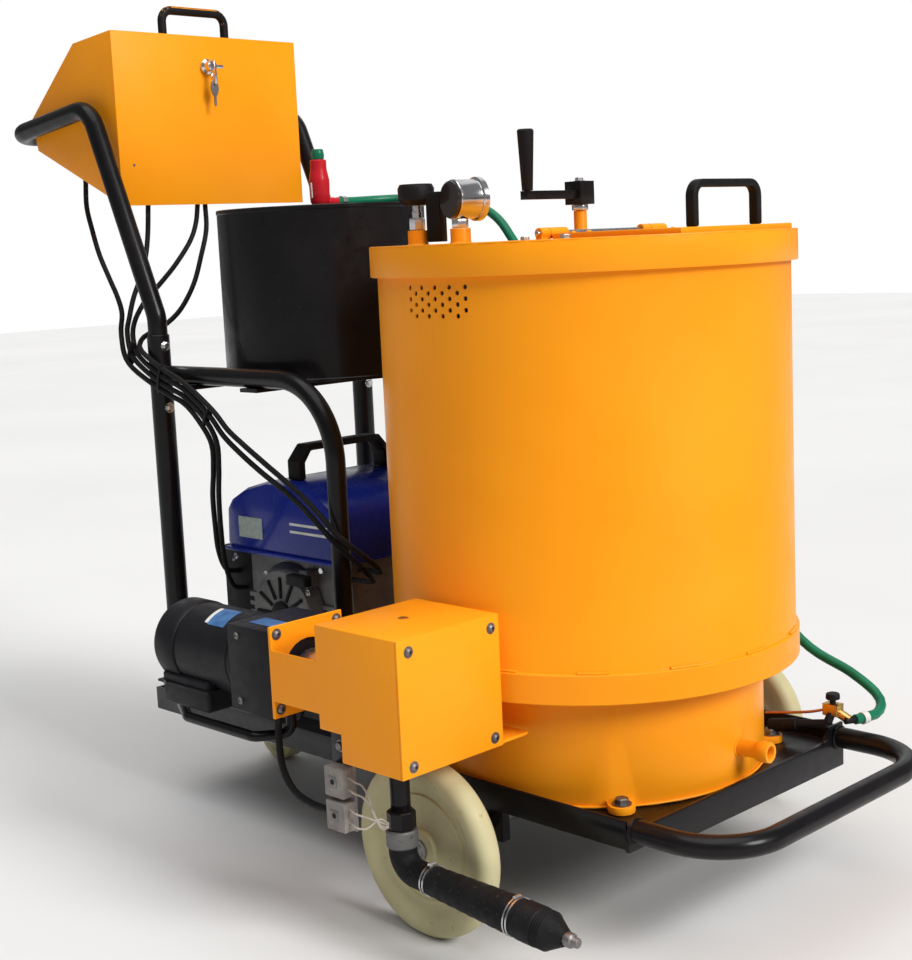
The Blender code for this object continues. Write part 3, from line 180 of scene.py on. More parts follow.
def rounded(corners, radius, steps=12):
    """A path through the corners, each inner one replaced by an arc of the radius."""
    points = [Vector(corner) for corner in corners]
    path = [points[0]]
    for before, corner, after in zip(points, points[1:], points[2:]):
        back = (before - corner).normalized()
        ahead = (after - corner).normalized()
        half = back.angle(ahead) / 2
        reach = radius * cos(half) / sin(half)
        centre = corner + (back + ahead).normalized() * (radius / sin(half))
        first = corner + back * reach - centre
        last = corner + ahead * reach - centre
        bend = pi - 2 * half
        for step in range(steps + 1):
            turn = bend * step / steps
            path.append(centre + (first * sin(bend - turn) + last * sin(turn)) / sin(bend))
    path.append(points[-1])
    return path


def smooth_path(route, spacing):
    """Points at about the spacing along a smooth curve through the route's own points."""
    points = [Vector(point) for point in route]
    ends = [2 * points[0] - points[1], *points, 2 * points[-1] - points[-2]]
    path = []
    for a, b, c, d in zip(ends, ends[1:], ends[2:], ends[3:]):
        count = max(1, round((c - b).length / spacing))
        for step in range(count):
            t = step / count
            bend = (2 * a - 5 * b + 4 * c - d) * t * t + (3 * (b - c) + d - a) * t**3
            path.append((2 * b + (c - a) * t + bend) / 2)
    path.append(points[-1])
    return path


def joined(*shapes):
    """Several shapes as one."""
    whole = bmesh.new()
    for shape in shapes:
        spare = bpy.data.meshes.new("spare")
        shape.to_mesh(spare)
        shape.free()
        whole.from_mesh(spare)
        bpy.data.meshes.remove(spare)
    return whole


def on_circle(radius, angle, height):
    """A point at an angle round the kettle's axis."""
    return (radius * cos(angle), radius * sin(angle), height)


def ring_path(radius, height, steps=96, start=0.0, sweep=2 * pi):
    """Points along a circle round the kettle's axis, or along a stretch of it."""
    return [on_circle(radius, start + sweep * step / steps, height) for step in range(steps + 1)]


def bead(path, radius):
    """A weld bead: a thin bar with a ripple along it."""
    return pipe(path, radius, 8, lambda p: 1 + 0.16 * sin(1400 * p.x) * sin(1400 * p.y + 900 * p.z))


def collar_bead(centre, axis, reach, radius=0.0018, steps=28):
    """A weld bead round a tube where it meets a plate."""
    out = Vector(axis).orthogonal().normalized() * reach
    turns = [Matrix.Rotation(2 * pi * step / steps, 3, Vector(axis)) for step in range(steps + 1)]
    return bead([Vector(centre) + turn @ out for turn in turns], radius)


def hex_bolt(place, axis, size, washer=True):
    """A hexagon head with a chamfered crown, on its washer; size is the head's radius."""
    head = turned([(0, 0), (size, 0), (size, size * 0.6), (size * 0.82, size * 0.75), (0, size * 0.75)],
                  Vector(place) + Vector(axis).normalized() * size * (0.2 if washer else 0), axis, 6)
    if not washer:
        return head
    return joined(head, rod(place, Vector(place) + Vector(axis).normalized() * size * 0.22, size * 1.35))


def dome_screw(place, axis, size):
    """A button head with a hexagon socket, on a washer."""
    profile = [
        (0, 0.30), (0.38, 0.30), (0.42, 0.72), (0.62, 0.66), (0.86, 0.45), (1.0, 0.2), (1.0, 0.12)
    ]
    profile += [(1.32, 0.12), (1.32, 0), (0, 0)]
    return turned([(r * size, h * size) for r, h in profile], place, axis, 24)


def u_outline(half_width, foot, top, corner, steps=8):
    """An upside-down U, from its first foot over the top to the other, with rounded corners."""
    points = [(-half_width, foot)]
    for middle, start in ((corner - half_width, pi), (half_width - corner, pi / 2)):
        for step in range(steps + 1):
            angle = start - pi / 2 * step / steps
            points.append((middle + corner * cos(angle), top - corner + corner * sin(angle)))
    return points + [(half_width, foot)]


# ------------------------------------------------------------------ pieces


def smoothing_group():
    """The nodes that shade a mesh smooth, except across its sharp edges."""
    group = bpy.data.node_groups.get("smooth_by_angle")
    if group:
        return group
    group = bpy.data.node_groups.new("smooth_by_angle", "GeometryNodeTree")
    group.interface.new_socket("Geometry", in_out="INPUT", socket_type="NodeSocketGeometry")
    group.interface.new_socket("Geometry", in_out="OUTPUT", socket_type="NodeSocketGeometry")
    entry = group.nodes.new("NodeGroupInput")
    leave = group.nodes.new("NodeGroupOutput")
    faces = group.nodes.new("GeometryNodeSetShadeSmooth")
    edges = group.nodes.new("GeometryNodeSetShadeSmooth")
    edges.domain = "EDGE"
    edges.inputs["Shade Smooth"].default_value = False
    between = group.nodes.new("GeometryNodeInputMeshEdgeAngle")
    sharper = group.nodes.new("FunctionNodeCompare")
    sharper.inputs[1].default_value = SMOOTH_BELOW
    group.links.new(between.outputs[0], sharper.inputs[0])
    group.links.new(sharper.outputs[0], edges.inputs["Selection"])
    group.links.new(entry.outputs[0], faces.inputs["Geometry"])
    group.links.new(faces.outputs[0], edges.inputs["Geometry"])
    group.links.new(edges.outputs[0], leave.inputs[0])
    return group


def placed_object(name, data):
    """A new object in the scene."""
    made = bpy.data.objects.new(name, data)
    bpy.context.scene.collection.objects.link(made)
    return made


def placed_mesh(name, shape):
    """A mesh of a shape, moved from the kettle's axis to the frame's origin."""
    bmesh.ops.translate(shape, verts=shape.verts, vec=KETTLE_AXIS)
    bmesh.ops.recalc_face_normals(shape, faces=shape.faces)
    mesh = bpy.data.meshes.new(name)
    shape.to_mesh(mesh)
    shape.free()
    return mesh


def finish_edges(made, width, segments):
    """Rounds a piece's edges where a width is given, and shades it by angle."""
    if width:
        bevel = made.modifiers.new("edges", "BEVEL")
        bevel.width = width
        bevel.segments = segments
        bevel.limit_method = "ANGLE"
        bevel.angle_limit = ROUNDED_FROM
    made.modifiers.new("shading", "NODES").node_group = smoothing_group()


def piece(name, shape, look, body=FRAME, stands_for=(), edge=0.0, segments=2):
    """A new piece from a shape laid out round the kettle's axis, riding on a body."""
    mesh = placed_mesh(name, shape)
    mesh.materials.append(look)
    made = placed_object(name, mesh)
    finish_edges(made, edge, segments)
    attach(made, body)
    if stands_for:
        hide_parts(*stands_for)
    return made


def carve(made, shape):
    """Cuts a shape out of a piece, at once."""
    mesh = placed_mesh("cutter", shape)
    cutter = placed_object("cutter", mesh)
    boolean = made.modifiers.new("cut", "BOOLEAN")
    boolean.operation = "DIFFERENCE"
    boolean.solver = "EXACT"
    boolean.object = cutter
    shading = made.modifiers.get("shading")
    shading.show_viewport = False
    bpy.context.view_layer.update()
    result = bpy.data.meshes.new_from_object(made.evaluated_get(bpy.context.evaluated_depsgraph_get()))
    made.modifiers.remove(boolean)
    shading.show_viewport = True
    made.data = result
    bpy.data.objects.remove(cutter)


def dress(node, look, width=0.0006, segments=2):
    """Gives a CAD node its look, welds its split faces and rounds its edges."""
    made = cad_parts[node]
    for name in ("custom_normal", "sharp_edge", "sharp_face"):
        found = made.data.attributes.get(name)
        if found:
            made.data.attributes.remove(found)
    made.data.materials.clear()
    made.data.materials.append(look)
    weld = made.modifiers.new("weld", "WELD")
    weld.merge_threshold = WELD_DISTANCE
    finish_edges(made, width, segments)


# ------------------------------------------------------------------ materials


def mixed(tree, factor, dark, light):
    """A colour that runs between two, by a factor."""
    node = tree.nodes.new("ShaderNodeMix")
    node.data_type = "RGBA"
    tree.links.new(factor, node.inputs["Factor"])
    node.inputs["A"].default_value = (*dark, 1.0)
    node.inputs["B"].default_value = (*light, 1.0)
    return node.outputs["Result"]


def noise(tree, place, scale, detail=3.0, stretch=(1, 1, 1)):
    node = tree.nodes.new("ShaderNodeTexNoise")
    node.inputs["Scale"].default_value = scale
    node.inputs["Detail"].default_value = detail
    if stretch != (1, 1, 1):
        moved = tree.nodes.new("ShaderNodeMapping")
        moved.inputs["Scale"].default_value = stretch
        tree.links.new(place, moved.inputs["Vector"])
        place = moved.outputs["Vector"]
    tree.links.new(place, node.inputs["Vector"])
    return node.outputs["Fac"]


def spread(tree, value, low, high, from_low=0.3, from_high=0.7):
    """A value's middle range, stretched to run from low to high."""
    node = tree.nodes.new("ShaderNodeMapRange")
    tree.links.new(value, node.inputs["Value"])
    for name, number in (("From Min", from_low), ("From Max", from_high), ("To Min", low), ("To Max", high)):
        node.inputs[name].default_value = number
    return node.outputs["Result"]


def surface(name, dark, light, rough, scale=7.0, grain=900.0, depth=0.0002, metallic=0.0,
            coat=0.0, stretch=(1, 1, 1), dirt=None, dirt_share=0.62, wave=0.0):
    """A material whose tone drifts, with mottled gloss, a fine grain and, if asked for, specks of dirt.

    Grain is the fine bump's frequency per metre, depth its height in metres, and wave the height
    of a slow unevenness, as of thin sheet.
    """
    made = bpy.data.materials.new(name)
    made.use_nodes = True
    tree = made.node_tree
    shader = tree.nodes["Principled BSDF"]
    place = tree.nodes.new("ShaderNodeTexCoord").outputs["Object"]
    tint = mixed(tree, spread(tree, noise(tree, place, scale), 0, 1), dark, light)
    if dirt:
        specks = spread(tree, noise(tree, place, scale * 9, 6.0), 0, 0.75, dirt_share, dirt_share + 0.10)
        over = tree.nodes.new("ShaderNodeMix")
        over.data_type = "RGBA"
        tree.links.new(specks, over.inputs["Factor"])
        tree.links.new(tint, over.inputs["A"])
        over.inputs["B"].default_value = (*dirt, 1.0)
        tint = over.outputs["Result"]
    tree.links.new(tint, shader.inputs["Base Color"])
    gloss = noise(tree, place, scale * 5, 5.0, stretch)
    tree.links.new(spread(tree, gloss, rough[0], rough[1]), shader.inputs["Roughness"])
    bump = tree.nodes.new("ShaderNodeBump")
    bump.inputs["Distance"].default_value = depth
    bump.inputs["Strength"].default_value = 0.6
    tree.links.new(noise(tree, place, grain, 2.0, stretch), bump.inputs["Height"])
    normal = bump.outputs["Normal"]
    if wave:
        swell = tree.nodes.new("ShaderNodeBump")
        swell.inputs["Distance"].default_value = wave
        swell.inputs["Strength"].default_value = 1.0
        tree.links.new(noise(tree, place, 9.0, 1.0), swell.inputs["Height"])
        tree.links.new(normal, swell.inputs["Normal"])
        normal = swell.outputs["Normal"]
    tree.links.new(normal, shader.inputs["Normal"])
    shader.inputs["Metallic"].default_value = metallic
    shader.inputs["Specular IOR Level"].default_value = SPECULAR_LEVEL
    shader.inputs["Coat Weight"].default_value = coat
    shader.inputs["Coat Roughness"].default_value = 0.12
    return made


YELLOW = surface(
    "yellow_enamel", (0.90, 0.300, 0.006), (0.96, 0.345, 0.012), (0.30, 0.42), 5.0, 420, 0.00012,
    wave=0.0006
)
BLACK = surface(
    "black_enamel", (0.004, 0.0035, 0.0045), (0.008, 0.007, 0.008), (0.26, 0.42), 11.0, 520,
    0.00012, coat=0.15, dirt=(0.026, 0.020, 0.016), dirt_share=0.68
)
MOTOR_GREY = surface(
    "motor_enamel", (0.008, 0.008, 0.010), (0.014, 0.014, 0.017), (0.38, 0.52), 16.0, 700, 0.0003
)
PLASTIC = surface(
    "black_moulding", (0.006, 0.006, 0.006), (0.011, 0.010, 0.011), (0.45, 0.60), 18.0, 1600, 0.0001
)
RUBBER = surface(
    "black_sheath", (0.006, 0.006, 0.007), (0.012, 0.012, 0.013), (0.50, 0.68), 24.0, 1200, 0.0001,
    dirt=(0.045, 0.040, 0.034)
)
DARK_STEEL = surface(
    "dark_steel", (0.16, 0.15, 0.15), (0.26, 0.25, 0.25), (0.40, 0.60), 30.0, 900, 0.0002, 1.0,
    dirt=(0.10, 0.06, 0.03)
)
ZINC = surface(
    "bright_zinc", (0.52, 0.52, 0.54), (0.68, 0.68, 0.70), (0.22, 0.36), 40.0, 1500, 0.00008, 1.0
)
STAINLESS = surface(
    "stainless", (0.60, 0.60, 0.62), (0.74, 0.74, 0.76), (0.14, 0.26), 20.0, 2200, 0.00004, 1.0,
    stretch=(1, 1, 14)
)
CAST = surface(
    "cast_alloy", (0.13, 0.13, 0.13), (0.21, 0.21, 0.205), (0.50, 0.72), 22.0, 1100, 0.0005, 0.7,
    dirt=(0.05, 0.04, 0.03)
)
BLUE = surface(
    "blue_gloss", (0.006, 0.016, 0.19), (0.009, 0.022, 0.26), (0.20, 0.32), 9.0, 500, 0.00008,
    coat=0.25
)
WHEEL = surface("urethane", (0.46, 0.42, 0.24), (0.58, 0.54, 0.33), (0.36, 0.52), 14.0, 800, 0.0002,
                dirt=(0.30, 0.26, 0.14), dirt_share=0.66)
GREEN = surface(
    "green_hose", (0.004, 0.12, 0.060), (0.008, 0.18, 0.092), (0.30, 0.45), 20.0, 1400, 0.0001,
    coat=0.15
)
RED = surface(
    "red_enamel", (0.48, 0.010, 0.018), (0.60, 0.016, 0.026), (0.28, 0.42), 30.0, 1300, 0.0002,
    coat=0.2
)
BRASS = surface("brass", (0.55, 0.33, 0.10), (0.72, 0.46, 0.16), (0.24, 0.40), 60.0, 1500, 0.0001, 1.0)
COPPER = surface("copper", (0.50, 0.20, 0.11), (0.66, 0.30, 0.18), (0.28, 0.44), 60.0, 1500, 0.0001, 1.0)
CERAMIC = surface("ceramic", (0.20, 0.18, 0.165), (0.31, 0.285, 0.265), (0.55, 0.75), 60.0, 1500, 0.0003,
                  dirt=(0.10, 0.08, 0.07))
PANEL_GREY = surface(
    "panel_grey", (0.24, 0.25, 0.26), (0.31, 0.32, 0.33), (0.42, 0.55), 20.0, 1500, 0.0001
)
BOTTLE_GREY = surface(
    "bottle_grey", (0.20, 0.20, 0.20), (0.28, 0.28, 0.28), (0.42, 0.60), 9.0, 500, 0.0002,
    dirt=(0.12, 0.08, 0.05)
)
GLASS_DARK = surface(
    "dark_glass", (0.022, 0.018, 0.018), (0.030, 0.025, 0.025), (0.06, 0.10), 10.0, 300, 0.00002,
    coat=0.6
)
LABEL_PALE = surface(
    "label_pale", (0.30, 0.36, 0.34), (0.44, 0.50, 0.46), (0.30, 0.45), 160.0, 900, 0.00005
)
LABEL_BLUE = surface(
    "label_blue", (0.010, 0.060, 0.22), (0.09, 0.22, 0.42), (0.28, 0.40), 60.0, 900, 0.00005
)
WIRE_PALE = surface(
    "pale_wire", (0.30, 0.26, 0.22), (0.44, 0.40, 0.35), (0.45, 0.60), 90.0, 1500, 0.0001
)
WHITE = surface(
    "white_plastic", (0.62, 0.62, 0.60), (0.74, 0.74, 0.72), (0.35, 0.50), 40.0, 1500, 0.0001
)


# ------------------------------------------------------------------ camera, light and floor


def camera():
    data = bpy.data.cameras.new("camera")
    data.lens = CAMERA_LENS
    data.sensor_width = SENSOR_WIDTH
    made = placed_object("camera", data)
    ahead = Vector((
        -sin(CAMERA_AZIMUTH) * cos(CAMERA_PITCH),
        cos(CAMERA_AZIMUTH) * cos(CAMERA_PITCH),
        -sin(CAMERA_PITCH),
    ))
    level = Vector((cos(CAMERA_AZIMUTH), sin(CAMERA_AZIMUTH), 0))
    above = level.cross(ahead)
    right = level * cos(CAMERA_ROLL) - above * sin(CAMERA_ROLL)
    up = level * sin(CAMERA_ROLL) + above * cos(CAMERA_ROLL)
    axes = Matrix((right, up, -ahead)).transposed().to_4x4()
    made.matrix_world = Matrix.Translation(CAMERA_PLACE) @ axes
    bpy.context.scene.camera = made


def soft_sun(name, place, strength, spread_angle, tint=(1, 1, 1)):
    """An even light from a direction, as a large lamp far away gives."""
    data = bpy.data.lights.new(name, "SUN")
    data.energy = strength
    data.angle = spread_angle
    data.color = tint
    made = placed_object(name, data)
    made.location = place
    made.rotation_mode = "QUATERNION"
    made.rotation_quaternion = (-Vector(place)).to_track_quat("-Z", "Y")


def studio():
    scene = bpy.context.scene
    scene.view_settings.view_transform = "Standard"
    world = bpy.data.worlds.new("studio")
    world.use_nodes = True
    tree = world.node_tree
    sky = tree.nodes["Background"]
    sky.inputs["Color"].default_value = (1.0, 1.0, 1.0, 1.0)
    seen = tree.nodes.new("ShaderNodeLightPath").outputs["Is Camera Ray"]
    tree.links.new(spread(tree, seen, 0.20, 1.0, 0.0, 1.0), sky.inputs["Strength"])
    scene.world = world
    soft_sun("key", (3.4, 0.3, 2.1), 2.7, radians(24), (1.0, 0.985, 0.96))
    soft_sun("top", (0.3, -0.5, 3.2), 1.9, radians(60))
    soft_sun("back", (-2.2, 2.6, 2.2), 0.5, radians(60))
    shape = bmesh.new()
    bmesh.ops.create_grid(shape, x_segments=1, y_segments=1, size=14.0)
    mesh = bpy.data.meshes.new("floor")
    shape.to_mesh(mesh)
    shape.free()
    floor = placed_object("floor", mesh)
    mesh.materials.append(
        surface("floor", (0.66, 0.66, 0.66), (0.70, 0.70, 0.70), (0.7, 0.9), 0.8, 60, 0.0001)
    )


# ------------------------------------------------------------------ cords


CABLE_ROUTES = (
    (
        (-0.793, -0.150, 0.8565), (-0.796, -0.150, 0.819), (-0.783, -0.152, 0.785),
        (-0.763, -0.156, 0.750), (-0.730, -0.164, 0.717), (-0.697, -0.174, 0.690),
        (-0.677, -0.182, 0.668), (-0.672, -0.189, 0.640), (-0.645, -0.198, 0.602),
        (-0.565, -0.2035, 0.569), (-0.515, -0.2035, 0.553), (-0.482, -0.2035, 0.529),
        (-0.460, -0.2035, 0.502), (-0.460, -0.2035, 0.468), (-0.470, -0.200, 0.434),
        (-0.490, -0.185, 0.391), (-0.514, -0.165, 0.350), (-0.536, -0.138, 0.318),
        (-0.538, -0.1136, 0.312),
    ),
    (
        (-0.701, -0.110, 0.8170), (-0.704, -0.112, 0.777), (-0.702, -0.120, 0.744),
        (-0.693, -0.138, 0.714), (-0.685, -0.156, 0.689), (-0.674, -0.172, 0.664),
        (-0.663, -0.185, 0.641), (-0.633, -0.197, 0.609), (-0.564, -0.2035, 0.578),
        (-0.514, -0.2035, 0.562), (-0.472, -0.2035, 0.535), (-0.449, -0.2035, 0.506),
        (-0.448, -0.2035, 0.472), (-0.457, -0.200, 0.435), (-0.478, -0.185, 0.388),
        (-0.502, -0.165, 0.338), (-0.523, -0.138, 0.297), (-0.525, -0.1136, 0.290),
    ),
    (
        (-0.7035, -0.0235, 0.8172), (-0.7015, -0.030, 0.790), (-0.695, -0.047, 0.764),
        (-0.686, -0.080, 0.733), (-0.668, -0.120, 0.708), (-0.659, -0.148, 0.690),
        (-0.661, -0.162, 0.674), (-0.660, -0.175, 0.654), (-0.648, -0.186, 0.634),
        (-0.620, -0.197, 0.612), (-0.563, -0.2035, 0.588), (-0.513, -0.2035, 0.571),
        (-0.463, -0.2035, 0.541), (-0.434, -0.2035, 0.515), (-0.402, -0.2035, 0.495),
        (-0.362, -0.2035, 0.474), (-0.321, -0.2035, 0.455), (-0.288, -0.2035, 0.438),
        (-0.258, -0.203, 0.418), (-0.232, -0.197, 0.394), (-0.216, -0.178, 0.368),
        (-0.224, -0.150, 0.345), (-0.252, -0.124, 0.333), (-0.285, -0.112, 0.327),
        (-0.3088, -0.110, 0.326),
    ),
    (
        (-0.7035, -0.0105, 0.8172), (-0.697, -0.016, 0.780), (-0.674, -0.045, 0.742),
        (-0.648, -0.080, 0.703), (-0.635, -0.115, 0.669), (-0.634, -0.145, 0.649),
        (-0.637, -0.165, 0.641), (-0.631, -0.184, 0.633), (-0.611, -0.199, 0.620),
        (-0.561, -0.2035, 0.598), (-0.512, -0.2035, 0.580), (-0.454, -0.2035, 0.547),
        (-0.424, -0.2035, 0.523), (-0.392, -0.2035, 0.505), (-0.353, -0.2035, 0.485),
        (-0.313, -0.2035, 0.465), (-0.281, -0.2035, 0.448), (-0.251, -0.204, 0.429),
        (-0.225, -0.200, 0.406), (-0.2065, -0.180, 0.381), (-0.213, -0.148, 0.359),
        (-0.245, -0.117, 0.344), (-0.283, -0.098, 0.338), (-0.3088, -0.094, 0.336),
    ),
)
HOSE_ROUTE = (
    (-0.458, 0.0306, 0.8065), (-0.456, 0.060, 0.8065), (-0.448, 0.100, 0.8078),
    (-0.426, 0.138, 0.8078), (-0.386, 0.162, 0.8035), (-0.332, 0.166, 0.7950),
    (-0.280, 0.157, 0.7740), (-0.2425, 0.152, 0.737), (-0.212, 0.180, 0.670),
    (-0.165, 0.224, 0.585), (-0.115, 0.250, 0.500), (-0.050, 0.264, 0.405),
    (0.030, 0.267, 0.312), (0.117, 0.262, 0.231), (0.188, 0.259, 0.202),
    (0.226, 0.253, 0.184), (0.243, 0.238, 0.174), (0.2475, 0.217, 0.169),
    (0.2450, 0.198, 0.1693), (0.2406, 0.1829, 0.1697),
)
MOTOR_CABLE_ROUTE = (
    (-0.143, -0.3680, 0.2418), (-0.144, -0.3685, 0.212), (-0.138, -0.3700, 0.182),
    (-0.116, -0.3735, 0.162), (-0.082, -0.3775, 0.1565), (-0.0465, -0.3795, 0.1565),
)


def cord(name, node, route, radius, look):
    """A cord through its route, from one place on the machine to another."""
    curve = bpy.data.curves.new(name, "CURVE")
    curve.dimensions = "3D"
    curve.bevel_depth = radius
    curve.bevel_resolution = 4
    curve.use_fill_caps = True
    path = [point + KETTLE_AXIS for point in smooth_path(route, 2.2 * radius)]
    spline = curve.splines.new("POLY")
    spline.points.add(len(path) - 1)
    for point, place in zip(spline.points, path):
        point.co = (*place, 1.0)
    spline.use_smooth = True
    curve.materials.append(look)
    made = placed_object(name, curve)
    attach(made, FRAME)
    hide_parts(node)


def cords():
    for number, route in enumerate(CABLE_ROUTES, 1):
        cord(
            f"power_cable_{number}", f"cable_{number}", route, 0.0035, RUBBER,
        )
    cord("green_gas_hose", "gas_hose", HOSE_ROUTE, 0.0060, GREEN)
    cord(
        "gear_motor_cable", "motor_cable", MOTOR_CABLE_ROUTE, 0.0040, RUBBER,
    )


# ------------------------------------------------------------------ kettle


def vent_holes():
    """Round holes in staggered rows, high on the jacket's near side."""
    holes = []
    for row in range(6):
        count = 5 - row % 2
        for column in range(count):
            angle = radians(-90.6) + (column - (count - 1) / 2) * radians(5.1)
            height = 0.6985 - row * 0.0060
            start = on_circle(JACKET_R - 0.006, angle, height)
            holes.append(rod(start, on_circle(JACKET_R + 0.004, angle, height), 0.0027, sides=14))
    return joined(*holes)


def kettle_jacket():
    inner, hole = JACKET_R - JACKET_WALL, FIREBOX_R + 0.0006
    band = BASE_BAND_TOP
    profile = [
        (inner, JACKET_TOP), (JACKET_R, JACKET_TOP), (JACKET_R, band + 0.0012),
        (JACKET_R + 0.0006, band)
    ]
    profile += [
        (BAND_R - 0.0010, band - 0.0006), (BAND_R, band - 0.0018), (BAND_R, JACKET_BOTTOM + 0.0014)
    ]
    profile += [(BAND_R - 0.0012, JACKET_BOTTOM + 0.0002), (BAND_R - 0.003, JACKET_BOTTOM)]
    profile += [
        (hole, JACKET_BOTTOM), (hole, JACKET_BOTTOM + JACKET_WALL),
        (inner, JACKET_BOTTOM + JACKET_WALL)
    ]
    shell = piece("kettle_shell", turned(profile, sides=160), YELLOW,
                  stands_for=["kettle_jacket"])
    carve(shell, vent_holes())
    stitches = []
    for start in range(0, 360, 24):
        path = ring_path(JACKET_R + 0.0012, band + 0.0008, 12, radians(start - 6), radians(8))
        stitches.append(bead(path, 0.0017))
    stitches.append(bead(ring_path(FIREBOX_R + 0.0010, JACKET_BOTTOM - 0.0004, 140), 0.0016))
    piece("kettle_weld_beads", joined(*stitches), YELLOW)


def kettle_lid():
    """The CAD lid with its edges rounded, a lip round its rim, its bolts and its bosses' fillets."""
    dress("kettle_lid", YELLOW, 0.0008)
    rim = [
        (LID_R - 0.0035, LID_TOP - 0.0004), (LID_R - 0.0005, LID_TOP - 0.0004),
        (LID_R, LID_TOP - 0.0001)
    ]
    rim += [(LID_R - 0.0003, LID_TOP + 0.0010), (LID_R - 0.0028, LID_TOP + 0.0012)]
    parts = [turned(rim, sides=160)]
    for x, y in (VALVE_AT, THERMOMETER_AT):
        fillet = [(0.0110, 0), (0.0160, 0), (0.0135, 0.0008), (0.0122, 0.0026), (0.0110, 0.0030)]
        parts.append(turned(fillet, (x, y, LID_TOP - 0.0002), sides=32))
    parts.append(turned([(0.0065, 0), (0.0120, 0), (0.0095, 0.0010), (0.0078, 0.0032), (0.0065, 0.0034)],
                        (0, 0, LID_TOP - 0.0002), sides=32))
    piece("lid_rim_and_fillets", joined(*parts), YELLOW)
    bolts = []
    for x, y in ((0.120, -0.165), (0.120, 0.165), (-0.170, 0.090), (-0.040, 0.190)):
        bolts.append(hex_bolt((x, y, LID_TOP - 0.0002), UP, 0.0060))
    piece("lid_bolts", joined(*bolts), ZINC)


def hatch():
    pivot_x, pivot_z = 0.034, 0.7500
    bottom, front, side = 0.7427, 0.218, 0.100
    parts = [block((0.0445, -side, bottom), (front, side, HATCH_TOP - 0.0004), 0.0012)]
    for middle in (-0.088, 0.088):
        low, high = middle - 0.0075, middle + 0.0075
        parts.append(turned([(0.0030, 0), (0.006, 0), (0.006, high - low), (0.0030, high - low)],
                            (pivot_x, low, pivot_z), LEFT, 28))
        parts.append(
            block((pivot_x + 0.0045, low, bottom + 0.0038), (0.0490, high, HATCH_TOP - 0.001), 0.0006)
        )
        for offset in (0.020, 0.042):
            parts.append(dome_screw((0.0445 + offset, middle, HATCH_TOP - 0.0006), UP, 0.0028))
    piece("hatch_plate", joined(*parts), YELLOW, "hatch", ["hatch_cover"])
    outer = u_outline(0.0610, HATCH_TOP - 0.0004, 0.7980, 0.018)
    inner = u_outline(0.0520, HATCH_TOP - 0.0004, 0.7895, 0.009)
    piece(
        "hatch_handle", prism(outer + inner[::-1], "x", 0.194, 0.206), PLASTIC, "hatch",
        edge=0.0022, segments=3
    )


def firebox():
    dress("firebox", YELLOW, 0.0010)
    beyond = on_circle(BURNER_END, BURNER_ANGLE, BURNER_Z)
    facing = (cos(BURNER_ANGLE), sin(BURNER_ANGLE), 0)
    flare = [
        (0.0098, -0.0150), (0.0112, -0.0146), (0.0118, -0.0135), (0.0118, -0.0008), (0.0112, 0.0004)
    ]
    flare += [(0.0082, 0.0004), (0.0078, -0.0002), (0.0098, -0.0040)]
    root = on_circle(FIREBOX_R - 0.0005, BURNER_ANGLE, BURNER_Z)
    parts = [turned(flare, beyond, facing, 40), collar_bead(root, facing, 0.0104, 0.0017)]
    parts.append(bead(ring_path(FIREBOX_R + 0.0012, FIREBOX_BOTTOM + 0.0014, 140), 0.0015))
    piece("firebox_welds", joined(*parts), YELLOW)
    bolts = []
    for quarter in range(4):
        place = on_circle(FIREBOX_R + 0.0125, radians(-43 + 90 * quarter), FIREBOX_BOTTOM + 0.0080)
        bolts.append(hex_bolt(place, UP, 0.0080))
    piece("firebox_bolts", joined(*bolts), DARK_STEEL)


def thermometer():
    """The dial thermometer: a stem with its nut, a steel case with rolled rims and a dark dial."""
    x, y, foot = *THERMOMETER_AT, BOSS_FOOT
    facing = Vector((-0.25, -0.97, 0)).normalized()
    middle = Vector((x, y, 0.7925))
    case = [(0, -0.027), (0.0235, -0.027), (0.0250, -0.0262), (0.0250, -0.0205), (0.0238, -0.0194)]
    case += [(0.0224, -0.0190), (0.0222, 0.0050), (0.0228, 0.0060), (0.0228, 0.0085), (0.0220, 0.0095)]
    case += [(0.0212, 0.0095), (0.0212, 0.0080), (0, 0.0080)]
    stem = turned([(0, 0.010), (0.0048, 0.010), (0.0044, 0.026), (0, 0.026)], (x, y, foot))
    nut = turned([(0, 0), (0.0092, 0), (0.0098, 0.001), (0.0098, 0.009), (0.0092, 0.010), (0, 0.010)],
                 (x, y, foot), sides=6)
    piece("thermometer_case", joined(turned(case, middle, facing, 56), stem, nut), STAINLESS,
          stands_for=["thermometer"])
    face = [
        (0, 0.0085), (0.0205, 0.0085), (0.0210, 0.0090), (0.0210, 0.0130), (0.0195, 0.0143),
        (0, 0.0145)
    ]
    piece("thermometer_dial", turned(face, middle, facing, 48), GLASS_DARK)


def valve():
    """The vent valve's nut and stem, and the knob with its long arm."""
    x, y, foot = *VALVE_AT, BOSS_FOOT
    nut = turned([(0, 0), (0.0088, 0), (0.0094, 0.001), (0.0094, 0.013), (0.0086, 0.014), (0, 0.014)],
                 (x, y, foot), sides=6)
    stem = turned(
        [(0, 0.014), (0.006, 0.014), (0.006, 0.0205), (0.0052, 0.021), (0.0052, 0.0280), (0, 0.0280)],
        (x, y, foot)
    )
    piece("valve_neck", joined(nut, stem), ZINC, stands_for=["valve_body"])
    dress("valve_lever", PLASTIC, 0.0016, 3)


def crank():
    """The agitator's hub, arm and grip, with the hub's bolt and set screw."""
    dress("agitator_shaft", STAINLESS, 0.0003)
    dress("crank_arm", BLACK, 0.0022, 3)
    dress("crank_grip", PLASTIC, 0.0010)
    screws = joined(
        hex_bolt((0, 0, 0.8066), UP, 0.0050),
        dome_screw((-0.0118, 0, 0.794), BACKWARD, 0.0024),
    )
    piece("crank_screws", screws, ZINC, "agitator")


